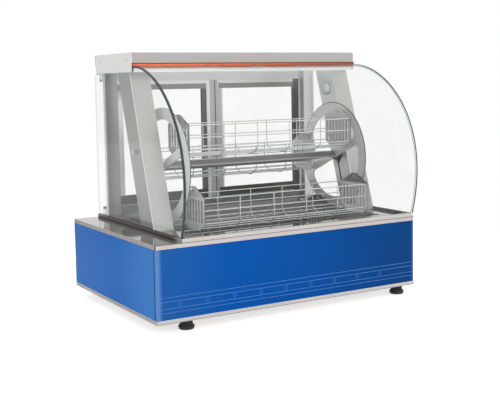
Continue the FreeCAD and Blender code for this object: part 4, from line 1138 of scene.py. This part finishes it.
def door_areas(side):
    """Painted light and shade round each pane: a band of painted shade, lighter along the head and darkest
    along the sill as painted shadow, then a painted highlight, then flat satin bars. The stile on the left
    of each pane is painted lit, brightest along its inner edge."""
    low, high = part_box(f"door_{side}_frame")
    meets_right = side == "left"
    left = low.x + (OUTER_STILE if meets_right else MEETING_STILE)
    right = high.x - (MEETING_STILE if meets_right else OUTER_STILE)

    def areas(finish, tone, polish):
        x = finish.spot("X")
        z = finish.spot("Z")
        beside_left = left - x
        beside_right = x - right
        above = z - (high.z - HIGH_RAIL)
        below = (low.z + LOW_RAIL) - z
        reach = beside_left.maths("MAXIMUM", beside_left, beside_right)
        reach = reach.maths("MAXIMUM", reach, above)
        reach = reach.maths("MAXIMUM", reach, below)
        shade_band = reach < SHADED_BAND_WIDTH
        sill_shadow = (below > 0.0) * (below < SILL_BAND) * (beside_right < SHADED_BAND_WIDTH)
        lit = (beside_left > 0.0) * (above < 0.0) * (below < 0.0)
        tone = finish.mix(reach < SHADED_BAND_WIDTH + HIGHLIGHT_WIDTH, tone, BAND_HIGHLIGHT)
        tone = finish.mix(shade_band, tone, BAND_SHADE)
        tone = finish.mix((above > 0.0) * shade_band, tone, HEAD_SHADE)
        tone = finish.mix(sill_shadow, tone, DEEP_SHADE)
        tone = finish.mix(lit, tone, shade(206, 206, 202))
        # The left door's stile is painted white low down as painted light, and a painted shadow line runs
        # down its meeting edge; the right door's outer stile carries a band of painted shade.
        if meets_right:
            down = z.eased(low.z + OUTER_LIT[0], low.z + OUTER_LIT[1])
            tone = finish.mix(lit * down, tone, shade(255, 255, 253))
            line = (x > high.x - MEETING_SHADOW[0]) * (x < high.x - MEETING_SHADOW[1])
            tone = finish.mix(line, tone, DEEP_SHADE)
        else:
            outer = (beside_right > 0.0) * (beside_right < OUTER_SHADE)
            tone = finish.mix(outer, tone, shade(88, 88, 86))
        return finish.mix(lit * (beside_left < LIT_EDGE_WIDTH), tone, shade(252, 252, 250)), polish
    return areas


for side in ("left", "right"):
    areas = door_areas(side)
    metal = brushed(f"door_aluminium_{side}", shade(200, 200, 196), 0.36, "z", 0.06, areas=areas)
    dress(metal, f"door_{side}_frame")


def door_glass():
    """The doors' panes, whose edges are hidden in the frames."""
    finish = Finish(bpy.data.materials.new("door_pane"))
    return finish.show(clear_pane(finish, 9.0)[1])


dress(door_glass(), "door_left_pane", "door_right_pane")


def track_areas(finish, tone, polish):
    """Each end face of a channel is painted white as painted light."""
    return finish.mix(finish.facing("X"), tone, shade(255, 255, 255)), polish


# The upper channel is a painted-lit copy and the lower one a painted-shade copy of the same aluminium.
lit_upper_track = brushed("upper_track_aluminium", shade(232, 232, 229), 0.4, contrast=0.05, areas=track_areas)
shaded_lower_track = brushed("lower_track_aluminium", shade(126, 126, 123), 0.4, contrast=0.12, areas=track_areas)
dress(lit_upper_track, "track_upper")
dress(shaded_lower_track, "track_lower")


# ---------------------------------------------------------------- controls
# The server's side: a thermostat knob, two rocker switches and a pilot lamp in a row
# on the rear panel, and an empty gland below them.

def plastic(name, colour, roughness):
    """Moulded plastic under a little dust."""
    finish = Finish(bpy.data.materials.new(name))
    grain = finish.noise(900.0)
    dust = finish.noise(60.0, detail=3.0)
    return finish.show(finish.shader({
        "Base Color": finish.mix(dust.eased(0.4, 0.8), colour, scaled(colour, 1.15, 0.004)),
        "Roughness": roughness + (dust - 0.5) * 0.15,
        "Normal": finish.bump(grain, 0.08, 0.0002),
    }))


black_plastic = plastic("black_plastic", shade(30, 30, 31), 0.4)
dress(black_plastic, "thermostat", "thermostat_knob", "switch_frames", "cable_gland")
dress(plastic("red_rocker", shade(176, 34, 30), 0.3), "rocker_heat")
dress(plastic("green_rocker", shade(36, 140, 70), 0.3), "rocker_light")
dress(plastic("amber_lens", shade(226, 130, 34), 0.22), "pilot_lamp")
